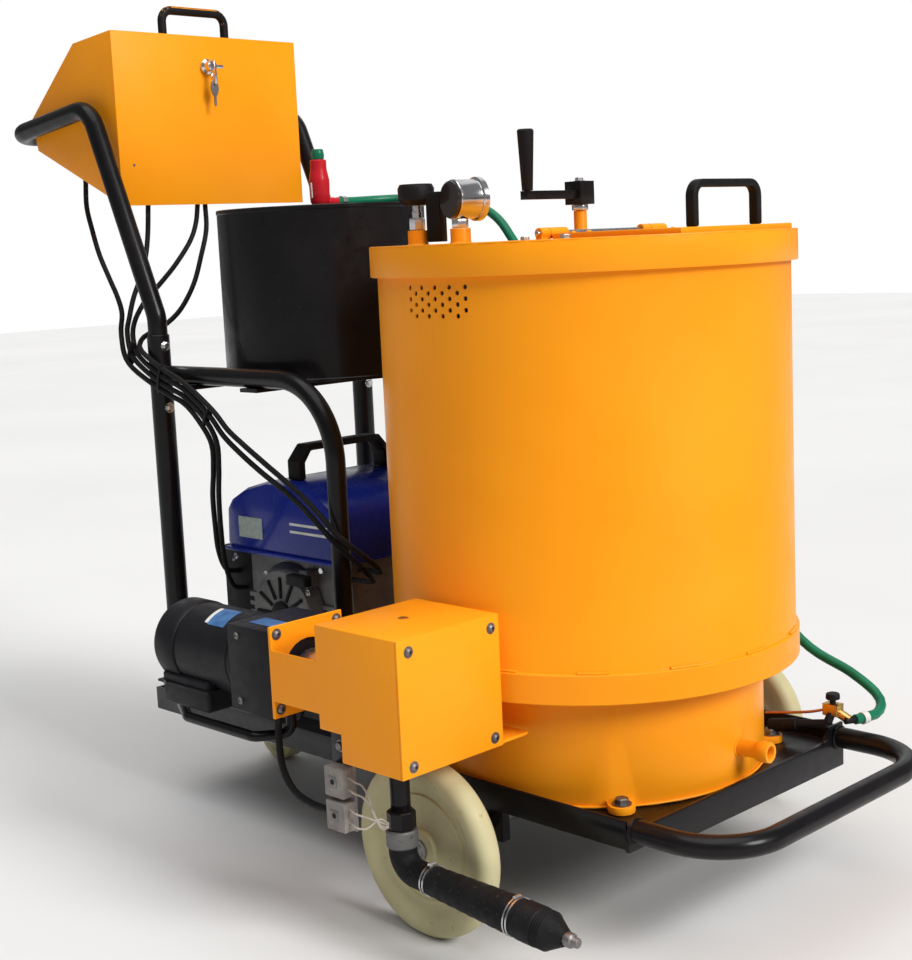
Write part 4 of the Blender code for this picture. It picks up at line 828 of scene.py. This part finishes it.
# ------------------------------------------------------------------ chassis, frames and handle


def chassis():
    dress("chassis_frame", BLACK, 0.0012)
    dress("drum_shelf", BLACK, 0.0008)
    dress("torch_bracket", BLACK, 0.0006)
    bolts = []
    for x, y in ((-0.616, -0.027), (-0.616, 0.027), (-0.568, -0.027), (-0.568, 0.027)):
        bolts.append(hex_bolt((x, y, DECK_TOP - 0.0002), UP, 0.0045))
    piece("tray_bolts", joined(*bolts), DARK_STEEL)


def bumper():
    corners = [
        (0.2123, -0.193, 0.1405), (0.3336, -0.193, 0.1405), (0.3336, 0.193, 0.1405),
        (0.2123, 0.193, 0.1405)
    ]
    parts = [pipe(rounded(corners, 0.075, 20), 0.0125, 28)]
    for side in (-0.193, 0.193):
        parts.append(collar_bead((0.2132, side, 0.1405), FORWARD, 0.0128))
    piece("bumper_tube", joined(*parts), BLACK, stands_for=["bumper_loop"])


def side_frames():
    foot = DECK_TOP + 0.0003
    for name, side in (("side_frame_right", -FRAME_SIDE), ("side_frame_left", FRAME_SIDE)):
        post = [(0, foot), (POST_R, foot), (POST_R, POST_TOP - 0.001), (POST_R - 0.0008, POST_TOP)]
        post += [(0.0134, POST_TOP), (0.0133, 0.603), (0, 0.603)]
        hoop = [(POST_X, side, 0.587), (-0.244, side, 0.587), (-0.244, side, foot)]
        parts = [turned(post, (POST_X, side, 0), sides=32), pipe(rounded(hoop, 0.098, 22), 0.0120, 28)]
        parts.append(collar_bead((POST_X + POST_R, side, 0.587), FORWARD, 0.0118))
        parts.append(collar_bead((POST_X, side, foot + 0.001), UP, 0.0155))
        parts.append(collar_bead((-0.244, side, foot + 0.001), UP, 0.0125))
        piece(f"{name}_tubes", joined(*parts), BLACK, stands_for=[name])
    screws = []
    for side in (-1, 1):
        for height in (0.613, 0.530):
            screws.append(
                hex_bolt((POST_X + 0.0143, side * FRAME_SIDE, height + 0.012), FORWARD, 0.0052)
            )
    piece("post_screws", joined(*screws), ZINC)


def push_handle():
    side = FRAME_SIDE
    half = [
        (POST_X, -side, 0.6033), (POST_X, -side, 0.664), (-0.7235, -side, 0.950),
        (-0.9314, -side, 0.9265)
    ]
    other = [(x, -y, z) for x, y, z in reversed(half)]
    tube = pipe(rounded(half + other, 0.042, 14), 0.013, 28)
    piece("handle_tube", tube, BLACK, stands_for=["push_handle"])


# ------------------------------------------------------------------ gas supply


def gas_supply():
    x = DRUM_X
    radius, wall, bottom, top = 0.140, 0.002, 0.5752, 0.800
    drum = [
        (0, bottom + 0.003), (radius - 0.004, bottom + 0.003), (radius - 0.003, bottom),
        (radius, bottom)
    ]
    drum += [(radius, bottom + 0.004), (radius - 0.0008, bottom + 0.005), (radius - 0.0008, top - 0.006)]
    drum += [(radius, top - 0.005), (radius, top - 0.001), (radius - 0.001, top), (radius - 0.0028, top)]
    drum += [
        (radius - wall - 0.0008, top - 0.002), (radius - wall - 0.0008, bottom + 0.005),
        (0, bottom + 0.005)
    ]
    piece(
        "drum_shell", turned(drum, (x, 0, 0), sides=112), BLACK,
        stands_for=["gas_drum"]
    )
    dress("gas_bottle", BOTTLE_GREY, 0.0015)
    body = [
        (0, 0.7903), (0.009, 0.7903), (0.009, 0.801), (0.0125, 0.8055), (0.0132, 0.808),
        (0.0140, 0.834)
    ]
    body += [
        (0.0136, 0.8365), (0.0112, 0.849), (0.0110, 0.851), (0.0110, 0.861), (0.0100, 0.862),
        (0, 0.862)
    ]
    outlet = [(0, 0), (0.0065, 0), (0.0065, 0.008), (0.0054, 0.009), (0.0062, 0.012), (0.0054, 0.015)]
    outlet += [(0.0062, 0.018), (0.0054, 0.021), (0.0060, 0.026), (0, 0.026)]
    piece("regulator_case", joined(turned(body, (x, 0, 0), sides=32),
                                   turned(outlet, (x, 0.004, 0.8065), LEFT, 24)),
          RED, stands_for=["regulator_body"])
    ribs = [block((x - 0.0012, -0.0145, 0.812), (x + 0.0012, -0.0125, 0.832), 0.0003)]
    piece("regulator_rib", joined(*ribs), WHITE)
    dress("regulator_knob", GREEN, 0.0012)
    clamp = turned(
        [(0.0062, 0), (0.0075, 0), (0.0075, 0.008), (0.0062, 0.008)], (x, 0.036, 0.8065), LEFT, 28
    )
    piece("regulator_hose_clamp", clamp, ZINC)


# ------------------------------------------------------------------ pump, gear motor and nozzle


def pump_box():
    dress("pump_housing", YELLOW, 0.0012, 3)
    back, face = BOX_FRONT + 0.0003, BOX_FRONT + 0.003
    cover = block((back, BOX_NEAR, BOX_BOTTOM), (face, BOX_FAR, BOX_TOP), 0.0009)
    piece("pump_front_plate", cover, YELLOW, stands_for=["pump_cover"])
    screws = []
    for y in (BOX_NEAR + 0.0155, BOX_FAR - 0.0125):
        for z in (BOX_BOTTOM + 0.0110, BOX_TOP - 0.0135):
            screws.append(dome_screw((face - 0.0001, y, z), FORWARD, 0.0047))
    for y, z in ((-0.3795, 0.3375), (-0.3795, 0.2545), (-0.2950, 0.3375), (-0.2950, 0.2545)):
        screws.append(dome_screw((-0.1224, y, z), FORWARD, 0.0048))
    piece("pump_box_screws", joined(*screws), DARK_STEEL)
    plug = turned(
        [(0, 0), (0.0055, 0), (0.0055, 0.0006), (0.0045, 0.001), (0, 0.001)],
        (0.010, -0.315, BOX_TOP)
    )
    piece("pump_box_plug", plug, BRASS)
    piece("terminal_strap", block((-0.0470, -0.3740, 0.2105), (-0.0160, -0.3727, 0.2475), 0.0003), BLACK)
    bolt = hex_bolt((-0.0320, -0.3740, 0.2300), RIGHT, 0.0048)
    piece("terminal_strap_bolt", bolt, DARK_STEEL)


def drive():
    for node in ("pump_case", "drive_gear", "idler_gear"):
        dress(node, CAST if node == "pump_case" else ZINC, 0.0004)
    dress("shaft_coupling", ZINC, 0.0008)
    dress("gearbox", MOTOR_GREY, 0.0035, 3)
    axis = (DRIVE_Y, DRIVE_Z)
    profile = [(0, -0.3545), (0.034, -0.3545), (0.0420, -0.3535), (0.0475, -0.3500), (0.0500, -0.3440)]
    profile += [
        (0.0500, -0.3130), (0.0494, -0.3120), (0.0488, -0.3118), (0.0470, -0.3110),
        (0.0470, -0.3085)
    ]
    profile += [
        (0.0484, -0.3080), (0.0484, -0.2120), (0.0470, -0.2100), (0.0484, -0.2080),
        (0.0484, -0.2033)
    ]
    profile += [(0, -0.2033)]
    parts = [turned(profile, (0, *axis), FORWARD, 72)]
    parts.append(block((-0.345, -0.380, 0.2240), (-0.255, -0.312, 0.2620), 0.004, 3))
    parts.append(block((-0.350, -0.3835, 0.2485), (-0.250, -0.3085, 0.2515), 0.0008))
    piece("motor_case", joined(*parts), MOTOR_GREY, stands_for=["motor_body"])
    # Thin dark discs on the motor's end stand in for the fan cover's holes: painted shade of the holes'
    # insides, not real openings.
    fan_hole_shade_discs = []
    for step in range(14):
        angle = 2 * pi * step / 14
        middle = Vector((-0.3549, DRIVE_Y + 0.022 * cos(angle), DRIVE_Z + 0.022 * sin(angle)))
        fan_hole_shade_discs.append(rod(middle, middle + Vector((0.0010, 0, 0)), 0.0030, sides=12))
    piece("motor_fan_holes_painted_shade", joined(*fan_hole_shade_discs), RUBBER)
    screws = [dome_screw((-0.1860, -0.3858, z), RIGHT, 0.0032) for z in (0.254, 0.328)]
    screws += [dome_screw((-0.335, -0.3838, 0.250), RIGHT, 0.0022)]
    piece("gear_motor_screws", joined(*screws), DARK_STEEL)
    wrap = curved_label(-0.262, -0.232, radians(48), radians(84), 0.0487, axis)
    piece("motor_label", wrap, LABEL_BLUE)
    stripe = curved_label(-0.268, -0.262, radians(50), radians(82), 0.0488, axis)
    piece("motor_label_edge", stripe, WHITE)
    plate = block((-0.186, -0.368, 0.3394), (-0.142, -0.344, 0.3399))
    piece("gearbox_label", plate, LABEL_BLUE)


def curved_label(rear, front, low, high, radius, axis, steps=12):
    """A thin label wrapped over a cylinder along X, between two angles from the side towards the top."""
    outline = []
    for reach, order in ((radius + 0.0003, range(steps + 1)), (radius - 0.0006, range(steps, -1, -1))):
        for step in order:
            angle = pi - (low + (high - low) * step / steps)
            outline.append((axis[0] + reach * cos(angle), axis[1] + reach * sin(angle)))
    return prism(outline, "x", rear, front)


def guard_bar():
    level = 0.213
    corners = [
        (-0.150, -0.345, 0.2421), (-0.150, -0.345, level), (-0.175, -0.379, level),
        (-0.300, -0.379, level), (-0.362, -0.345, level), (-0.330, -0.295, level),
        (-0.190, -0.300, level), (-0.190, -0.300, 0.2421),
    ]
    piece("guard_tube", pipe(rounded(corners, 0.013, 8), 0.006, 20), BLACK,
          stands_for=["guard_bar"])


def outlet_and_nozzle():
    x, y = 0.013, -0.335
    profile = [(0, 0.2393), (0.0107, 0.2393), (0.0107, 0.166)]
    for step in range(5):
        profile += [(0.0100, 0.1655 - step * 0.0012), (0.0107, 0.1650 - step * 0.0012)]
    profile += [(0.0107, 0.1595), (0, 0.1595)]
    nut = [
        (0, 0.1590), (0.0142, 0.1590), (0.0155, 0.1575), (0.0155, 0.1405), (0.0142, 0.139),
        (0, 0.139)
    ]
    union = [
        (0, 0.1388), (0.0160, 0.1388), (0.0173, 0.1370), (0.0173, 0.1212), (0.0160, 0.1195),
        (0, 0.1195)
    ]
    parts = [turned(profile[::-1], (x, y, 0), sides=32)]
    parts.append(turned(nut[::-1], (x, y, 0), sides=8))
    piece("outlet_pipe_and_nut", joined(*parts), BLACK, stands_for=["outlet_pipe"])
    piece("outlet_union", turned(union[::-1], (x, y, 0), sides=40), CAST)
    level, radius = 0.0945, 0.0195
    end = Vector((0.1970, y, 0.0850))
    start = Vector((0.2390, y, 0.0822))
    away = (start - end).normalized()

    def wrapped(place):
        along = min(max((place.x - 0.045) / 0.115, 0), 1)
        ripple = 0.012 * sin(430 * place.x) if place.x > 0.05 else 0
        return 0.78 + 0.22 * along + ripple

    path = rounded([(x, y, 0.1192), (x, y, level), end], 0.022, 14)
    last = path[-2]
    path[-1:] = [last.lerp(end, step / 40) for step in range(1, 41)]
    parts = [pipe(path, radius, 36, wrapped)]
    sleeve = [(0, -0.012), (0.0198, -0.012), (0.0205, -0.011), (0.0205, 0.010)]
    for step in range(4):
        sleeve += [(0.0190, 0.0115 + step * 0.0030), (0.0200, 0.0130 + step * 0.0030)]
    sleeve += [(0.0185, 0.0240), (0.0088, 0.0412), (0.0085, 0.0421), (0, 0.0421)]
    parts.append(turned(sleeve, end, away, 40))
    piece("nozzle_hose", joined(*parts), RUBBER, "nozzle", ["nozzle_wand"])
    clamps = []
    for place, reach in ((Vector((0.0555, y, 0.0925)), 0.0163), (Vector((0.1760, y, 0.0860)), 0.0200)):
        for shift in (-0.0028, 0.0012):
            profile = [(reach - 0.001, shift), (reach + 0.0006, shift), (reach + 0.0006, shift + 0.0018)]
            clamps.append(turned([*profile, (reach - 0.001, shift + 0.0018)], place, away, 36))
        screw = place + Vector((0, -0.004, reach + 0.0010))
        clamps.append(rod(screw, screw + Vector((0, 0.009, 0)), 0.0021, edge=0.0004))
    piece("nozzle_clamps", joined(*clamps), ZINC, "nozzle")
    dress("nozzle_tip", DARK_STEEL, 0.0006)


def terminal_blocks():
    dress("terminal_block", CERAMIC, 0.0010)
    plates, holes = [], []
    for low in (0.1405, 0.1775):
        middle = Vector((-0.0330, -0.3876, low + 0.0165))
        half = Vector((0.0062, 0.0004, 0.0062))
        plates.append(block(middle - half, middle + half, 0.0003))
        # Thin black discs where the screw holes are: painted shade of the holes' insides, not real openings.
        holes.append(rod(middle, middle + Vector((0, -0.0006, 0)), 0.0030, sides=20))
        side = Vector((-0.0214, -0.3795, low + 0.0080))
        holes.append(rod(side, side + Vector((0.0005, 0, 0)), 0.0026, sides=18))
        holes.append(
            rod(side + Vector((0, 0, 0.014)), side + Vector((0.0005, 0, 0.014)), 0.0026, sides=18)
        )
    piece("terminal_faces", joined(*plates), DARK_STEEL)
    piece("terminal_holes_painted_shade", joined(*holes), RUBBER)
    wires = []
    for low, sag in ((0.150, 0.004), (0.165, 0.007), (0.187, 0.010), (0.200, 0.012)):
        route = [(-0.0172, -0.380, low), (-0.006, -0.381, low - 0.002), (0.000, -0.372, low - sag)]
        route += [(0.006, -0.360, 0.158 - sag), (0.011, -0.3515, 0.150 - sag / 2)]
        wires.append(pipe(smooth_path(route, 0.003), 0.0011, 10))
    piece("terminal_wires", joined(*wires), WIRE_PALE)


# ------------------------------------------------------------------ wheels


def wheels():
    """Moulded wheels: a dished web between a ridged hub and a crowned tread."""
    half = 0.015
    face = [
        (0.0083, half), (0.0120, half), (0.0200, half), (0.0225, half - 0.001),
        (0.0240, half - 0.005)
    ]
    face += [
        (0.0290, half - 0.0075), (0.0470, half - 0.0080), (0.0560, half - 0.0078),
        (0.0575, half - 0.0060)
    ]
    face += [
        (0.0600, half - 0.0058), (0.0615, half - 0.0078), (0.0690, half - 0.0074),
        (0.0740, half - 0.0040)
    ]
    face += [(0.0790, half - 0.0012), (0.0830, half - 0.0002), (0.0880, half), (0.0925, half - 0.0010)]
    face += [
        (0.0960, half - 0.0032), (0.0982, half - 0.0062), (0.0995, half - 0.0095),
        (WHEEL_R, half - 0.013)
    ]
    profile = face + [(radius, -height) for radius, height in reversed(face)]
    for word, side in (("right", -WHEEL_SIDE), ("left", WHEEL_SIDE)):
        name, body = f"front_wheel_{word}", f"wheel_{word}"
        centre = (0, side, WHEEL_R)
        piece(
            f"{name}_moulding", turned(profile, centre, LEFT, 120), WHEEL, body,
            [name]
        )
    dress("front_axle", DARK_STEEL, 0.0008)
    washers = []
    for side in (-1, 1):
        washers.append(turned([(0.0081, 0), (0.0125, 0), (0.0125, 0.0012), (0.0081, 0.0012)],
                              (0, side * 0.3014, WHEEL_R), (0, side, 0), 32))
    piece("axle_washers", joined(*washers), DARK_STEEL)


def caster():
    dress("caster_fork", ZINC, 0.0010)
    half = 0.015
    face = [
        (0.0053, half), (0.0120, half), (0.0140, half - 0.002), (0.0260, half - 0.002),
        (0.0290, half)
    ]
    face += [(0.0370, half - 0.001), (0.0392, half - 0.003), (0.0400, half - 0.006)]
    profile = face + [(radius, -height) for radius, height in reversed(face)]
    piece("caster_moulding", turned(profile, (-0.612, 0, 0.040), LEFT, 64), WHEEL, "caster_roller",
          ["caster_wheel"])
    nuts = [hex_bolt((-0.612, side * 0.026, 0.040), (0, side, 0), 0.0070, False) for side in (-1, 1)]
    piece("caster_nuts", joined(*nuts), ZINC, "caster_swivel")


# ------------------------------------------------------------------ generator


def generator():
    dress("fuel_tank", BLUE, 0.0)
    dress("fuel_cap", PLASTIC, 0.0020, 3)
    dress("generator_strap", PLASTIC, 0.0022, 3)
    dress("engine_block", CAST, 0.0025)
    dress("starter_grip", PLASTIC, 0.0030, 3)
    lip = prism(
        [(-0.530, 0.347), (-0.296, 0.347), (-0.296, 0.352), (-0.530, 0.352)], "y", -0.1425, 0.1615,
        0.0012
    )
    piece("tank_seam", lip, BLUE)
    stripes = [block((-0.3900, -0.1406, z), (-0.3150, -0.1398, z + 0.0032)) for z in (0.383, 0.393)]
    piece("tank_stripes", joined(*stripes), WHITE)
    label = block((-0.4980, -0.1408, 0.368), (-0.4480, -0.1399, 0.396), 0.0002)
    piece("tank_label", label, LABEL_PALE)
    case = []
    for step in range(9):
        z = 0.182 + step * 0.0125
        case.append(block((-0.508, -0.1225, z), (-0.470, -0.1165, z + 0.0060), 0.0006))
        case.append(block((-0.368, -0.1225, z), (-0.316, -0.1165, z + 0.0060), 0.0006))
        case.append(block((-0.500, 0.1385, z), (-0.330, 0.1445, z + 0.0060), 0.0006))
    piece("engine_fins", joined(*case), CAST)
    ribs = []
    for step in range(12):
        angle = 2 * pi * step / 12
        inner = Vector((-0.420 + 0.022 * cos(angle), -0.1384, 0.270 + 0.022 * sin(angle)))
        outer = Vector((-0.420 + 0.050 * cos(angle), -0.1384, 0.270 + 0.050 * sin(angle)))
        ribs.append(rod(inner, outer, 0.0026, sides=10))
    hub = turned(
        [(0, 0), (0.018, 0), (0.018, 0.003), (0.014, 0.005), (0, 0.005)], (-0.420, -0.138, 0.270),
        RIGHT
    )
    piece("recoil_cover_ribs", joined(hub, *ribs), PLASTIC)
    screws = [dome_screw((-0.420 + 0.060 * cos(a), -0.1330, 0.270 + 0.060 * sin(a)), RIGHT, 0.0038)
              for a in (0.6, 2.2, 3.8, 5.3)]
    screws += [hex_bolt((x, -0.1396, 0.340), RIGHT, 0.0045, False) for x in (-0.508, -0.330)]
    screws += [dome_screw((-0.552, -0.1118, 0.326), RIGHT, 0.0034)]
    piece("engine_screws", joined(*screws), ZINC)
    box = block((-0.5722, -0.1140, 0.1700), (-0.4990, -0.1112, 0.3440), 0.0010)
    carry = [block((-0.5724, -0.1130, 0.168), (-0.5640, -0.0590, 0.3450), 0.0020)]
    piece("control_box_cover", joined(box, *carry), PLASTIC)
    muffler = joined(
        rod((-0.480, 0.145, 0.285), (-0.360, 0.145, 0.285), 0.026, sides=40, edge=0.004),
        rod((-0.372, 0.145, 0.285), (-0.372, 0.170, 0.270), 0.008, sides=20),
    )
    piece("muffler", muffler, DARK_STEEL)


# ------------------------------------------------------------------ console


def console():
    """The box with its black handle, the door with lock and key, and the panel at the rear."""
    dress("console_shell", YELLOW, 0.0010)
    corners = [
        (-0.717, -0.054, 1.0478), (-0.717, -0.054, 1.0876), (-0.717, 0.054, 1.0876),
        (-0.717, 0.054, 1.0478)
    ]
    sleeve = pipe(rounded(corners, 0.016, 12), 0.0061, 24)
    piece("console_handle", sleeve, PLASTIC)
    dress("console_door", YELLOW, 0.0006)
    face = -0.6877
    dress("lock_key", STAINLESS, 0.0004)
    ring = [Vector((face + 0.0175, -0.004 + 0.0050 * cos(a), 0.990 + 0.0070 * sin(a)))
            for a in [2 * pi * step / 28 for step in range(29)]]
    piece("key_ring", joined(pipe(ring, 0.0009, 10)), STAINLESS, "lock")
    spare = [(-0.0090, 0.986), (0.0010, 0.986), (0.0030, 0.976), (0.0000, 0.967), (-0.0020, 0.966)]
    spare += [(-0.0020, 0.954), (-0.0040, 0.951), (-0.0060, 0.954), (-0.0060, 0.966), (-0.0080, 0.967)]
    spare += [(-0.0110, 0.976)]
    piece(
        "hanging_key", prism(spare, "x", face + 0.0162, face + 0.0182, 0.0003, 1), DARK_STEEL,
        "lock"
    )
    latch = block((face + 0.0100, -0.003, 1.0050), (face + 0.0150, 0.016, 1.0100), 0.0012)
    piece("lock_cam", latch, STAINLESS, "lock")
    # A thin dark disc at the small hole in the door's lower corner: painted shade of the hole, not a cut
    # opening.
    hole = turned(
        [(0, 0), (0.0020, 0), (0.0020, 0.0004), (0, 0.0004)], (face - 0.0001, -0.137, 0.870),
        FORWARD, 16
    )
    piece("door_hole_painted_shade", hole, DARK_STEEL, "door")
    dress("control_panel", PANEL_GREY, 0.0006)
    dress("emergency_stop", RED, 0.0010, 3)
    dress("speed_knob", PLASTIC, 0.0008)
    upper, lower = Vector((-0.784, 0, 1.0435)), Vector((-0.910, 0, 0.949))
    down = (lower - upper).normalized()
    out = Vector((down.z, 0, -down.x))
    middle = (upper + lower) / 2 + out * 0.003
    axes = Matrix((down, Vector(LEFT), out)).transposed().to_4x4()

    def on_panel(*shapes):
        whole = joined(*shapes)
        bmesh.ops.transform(whole, matrix=Matrix.Translation(middle) @ axes, verts=whole.verts)
        return whole

    marks = []
    for step in range(11):
        angle = radians(-135 + 27 * step) - pi / 2
        tick = block((0.0185, -0.0004, 0.0), (0.0225 + 0.0015 * (step % 5 == 0), 0.0004, 0.0003))
        bmesh.ops.rotate(tick, verts=tick.verts, matrix=Matrix.Rotation(angle, 3, "Z"))
        bmesh.ops.translate(tick, verts=tick.verts, vec=(0.010, -0.030, 0))
        marks.append(tick)
    marks.append(block((0.030, 0.060, 0.0), (0.0315, 0.110, 0.0003)))
    piece("panel_marks", on_panel(*marks), WHITE)
    display = block((-0.042, -0.080, 0.0), (-0.018, -0.010, 0.0016), 0.0005)
    piece("panel_display", on_panel(display), GLASS_DARK)
    lamps = [
        turned([(0, 0), (0.005, 0), (0.005, 0.002), (0.003, 0.004), (0, 0.004)], (-0.030, y, 0), sides=24)
        for y in (0.030, 0.055)
    ]
    piece("panel_lamps", on_panel(*lamps), GREEN)
    screws = [dome_screw((x, y, -0.0002), UP, 0.0026) for x in (-0.052, 0.052) for y in (-0.122, 0.122)]
    piece("panel_screws", on_panel(*screws), ZINC)


# ------------------------------------------------------------------ torch, ties and small pieces


def torch():
    dress("torch_body", PLASTIC, 0.0006)
    dress("torch_knob", PLASTIC, 0.0008)
    valve, tail = Vector((0.2160, 0.1750, 0.1800)), Vector((0.2380, 0.1760, 0.1700))
    parts = [
        block(valve - Vector((0.0104, 0.0074, 0.0074)), valve + Vector((0.0104, 0.0074, 0.0074)), 0.0015)
    ]
    parts.append(rod(valve, tail, 0.0056, sides=20))
    piece("torch_valve_block", joined(*parts), BRASS)
    grip = rod((0.1764, 0.1615, 0.1573), (0.1398, 0.1571, 0.1500), 0.0078, 0.0086, 28, 0.0010)
    piece("torch_grip", grip, RUBBER)
    line = smooth_path([(0.2100, 0.1700, 0.1800), (0.1900, 0.1660, 0.1742), (0.1600, 0.1610, 0.1690),
                        (0.1330, 0.1580, 0.1650)], 0.004)
    piece("torch_pilot_pipe", pipe(line, 0.0017, 12), COPPER)
    clamp = turned([(0.0061, -0.004), (0.0073, -0.004), (0.0073, 0.004), (0.0061, 0.004)],
                   (0.2446, 0.1965, 0.1693), (0.22, 1, 0.03), 28)
    piece("torch_hose_clamp", clamp, WHITE)


def ties():
    """Cable ties that hold the cables to the frame and to each other."""
    parts = []
    for place, facing, wide, tall in (
        ((-0.5640, -0.2035, 0.5835), (1, 0, -0.28), 0.0052, 0.0205),
        ((-0.6405, -0.1945, 0.6160), (0.85, -0.30, -0.55), 0.0060, 0.0190),
        ((-0.4650, -0.2035, 0.5385), (0.85, 0, -0.60), 0.0052, 0.0150),
    ):
        outline = [(wide * cos(a), tall * sin(a)) for a in [2 * pi * step / 28 for step in range(28)]]
        band = prism(outline, "x", -0.0022, 0.0022, 0.0004, 1)
        ahead = Vector(facing).normalized()
        side = Vector(UP).cross(ahead).normalized()
        axes = Matrix((ahead, side, ahead.cross(side))).transposed().to_4x4()
        bmesh.ops.transform(band, matrix=Matrix.Translation(place) @ axes, verts=band.verts)
        parts.append(band)
    piece("cable_ties", joined(*parts), PLASTIC)


def plain_nodes():
    dress("inner_pot", DARK_STEEL, 0.0004)
    dress("hatch_hinge_pin", ZINC, 0.0003)


camera()
cords()
studio()
kettle_jacket()
kettle_lid()
hatch()
firebox()
thermometer()
valve()
crank()
chassis()
bumper()
side_frames()
push_handle()
gas_supply()
pump_box()
drive()
guard_bar()
outlet_and_nozzle()
terminal_blocks()
wheels()
caster()
generator()
console()
torch()
ties()
plain_nodes()
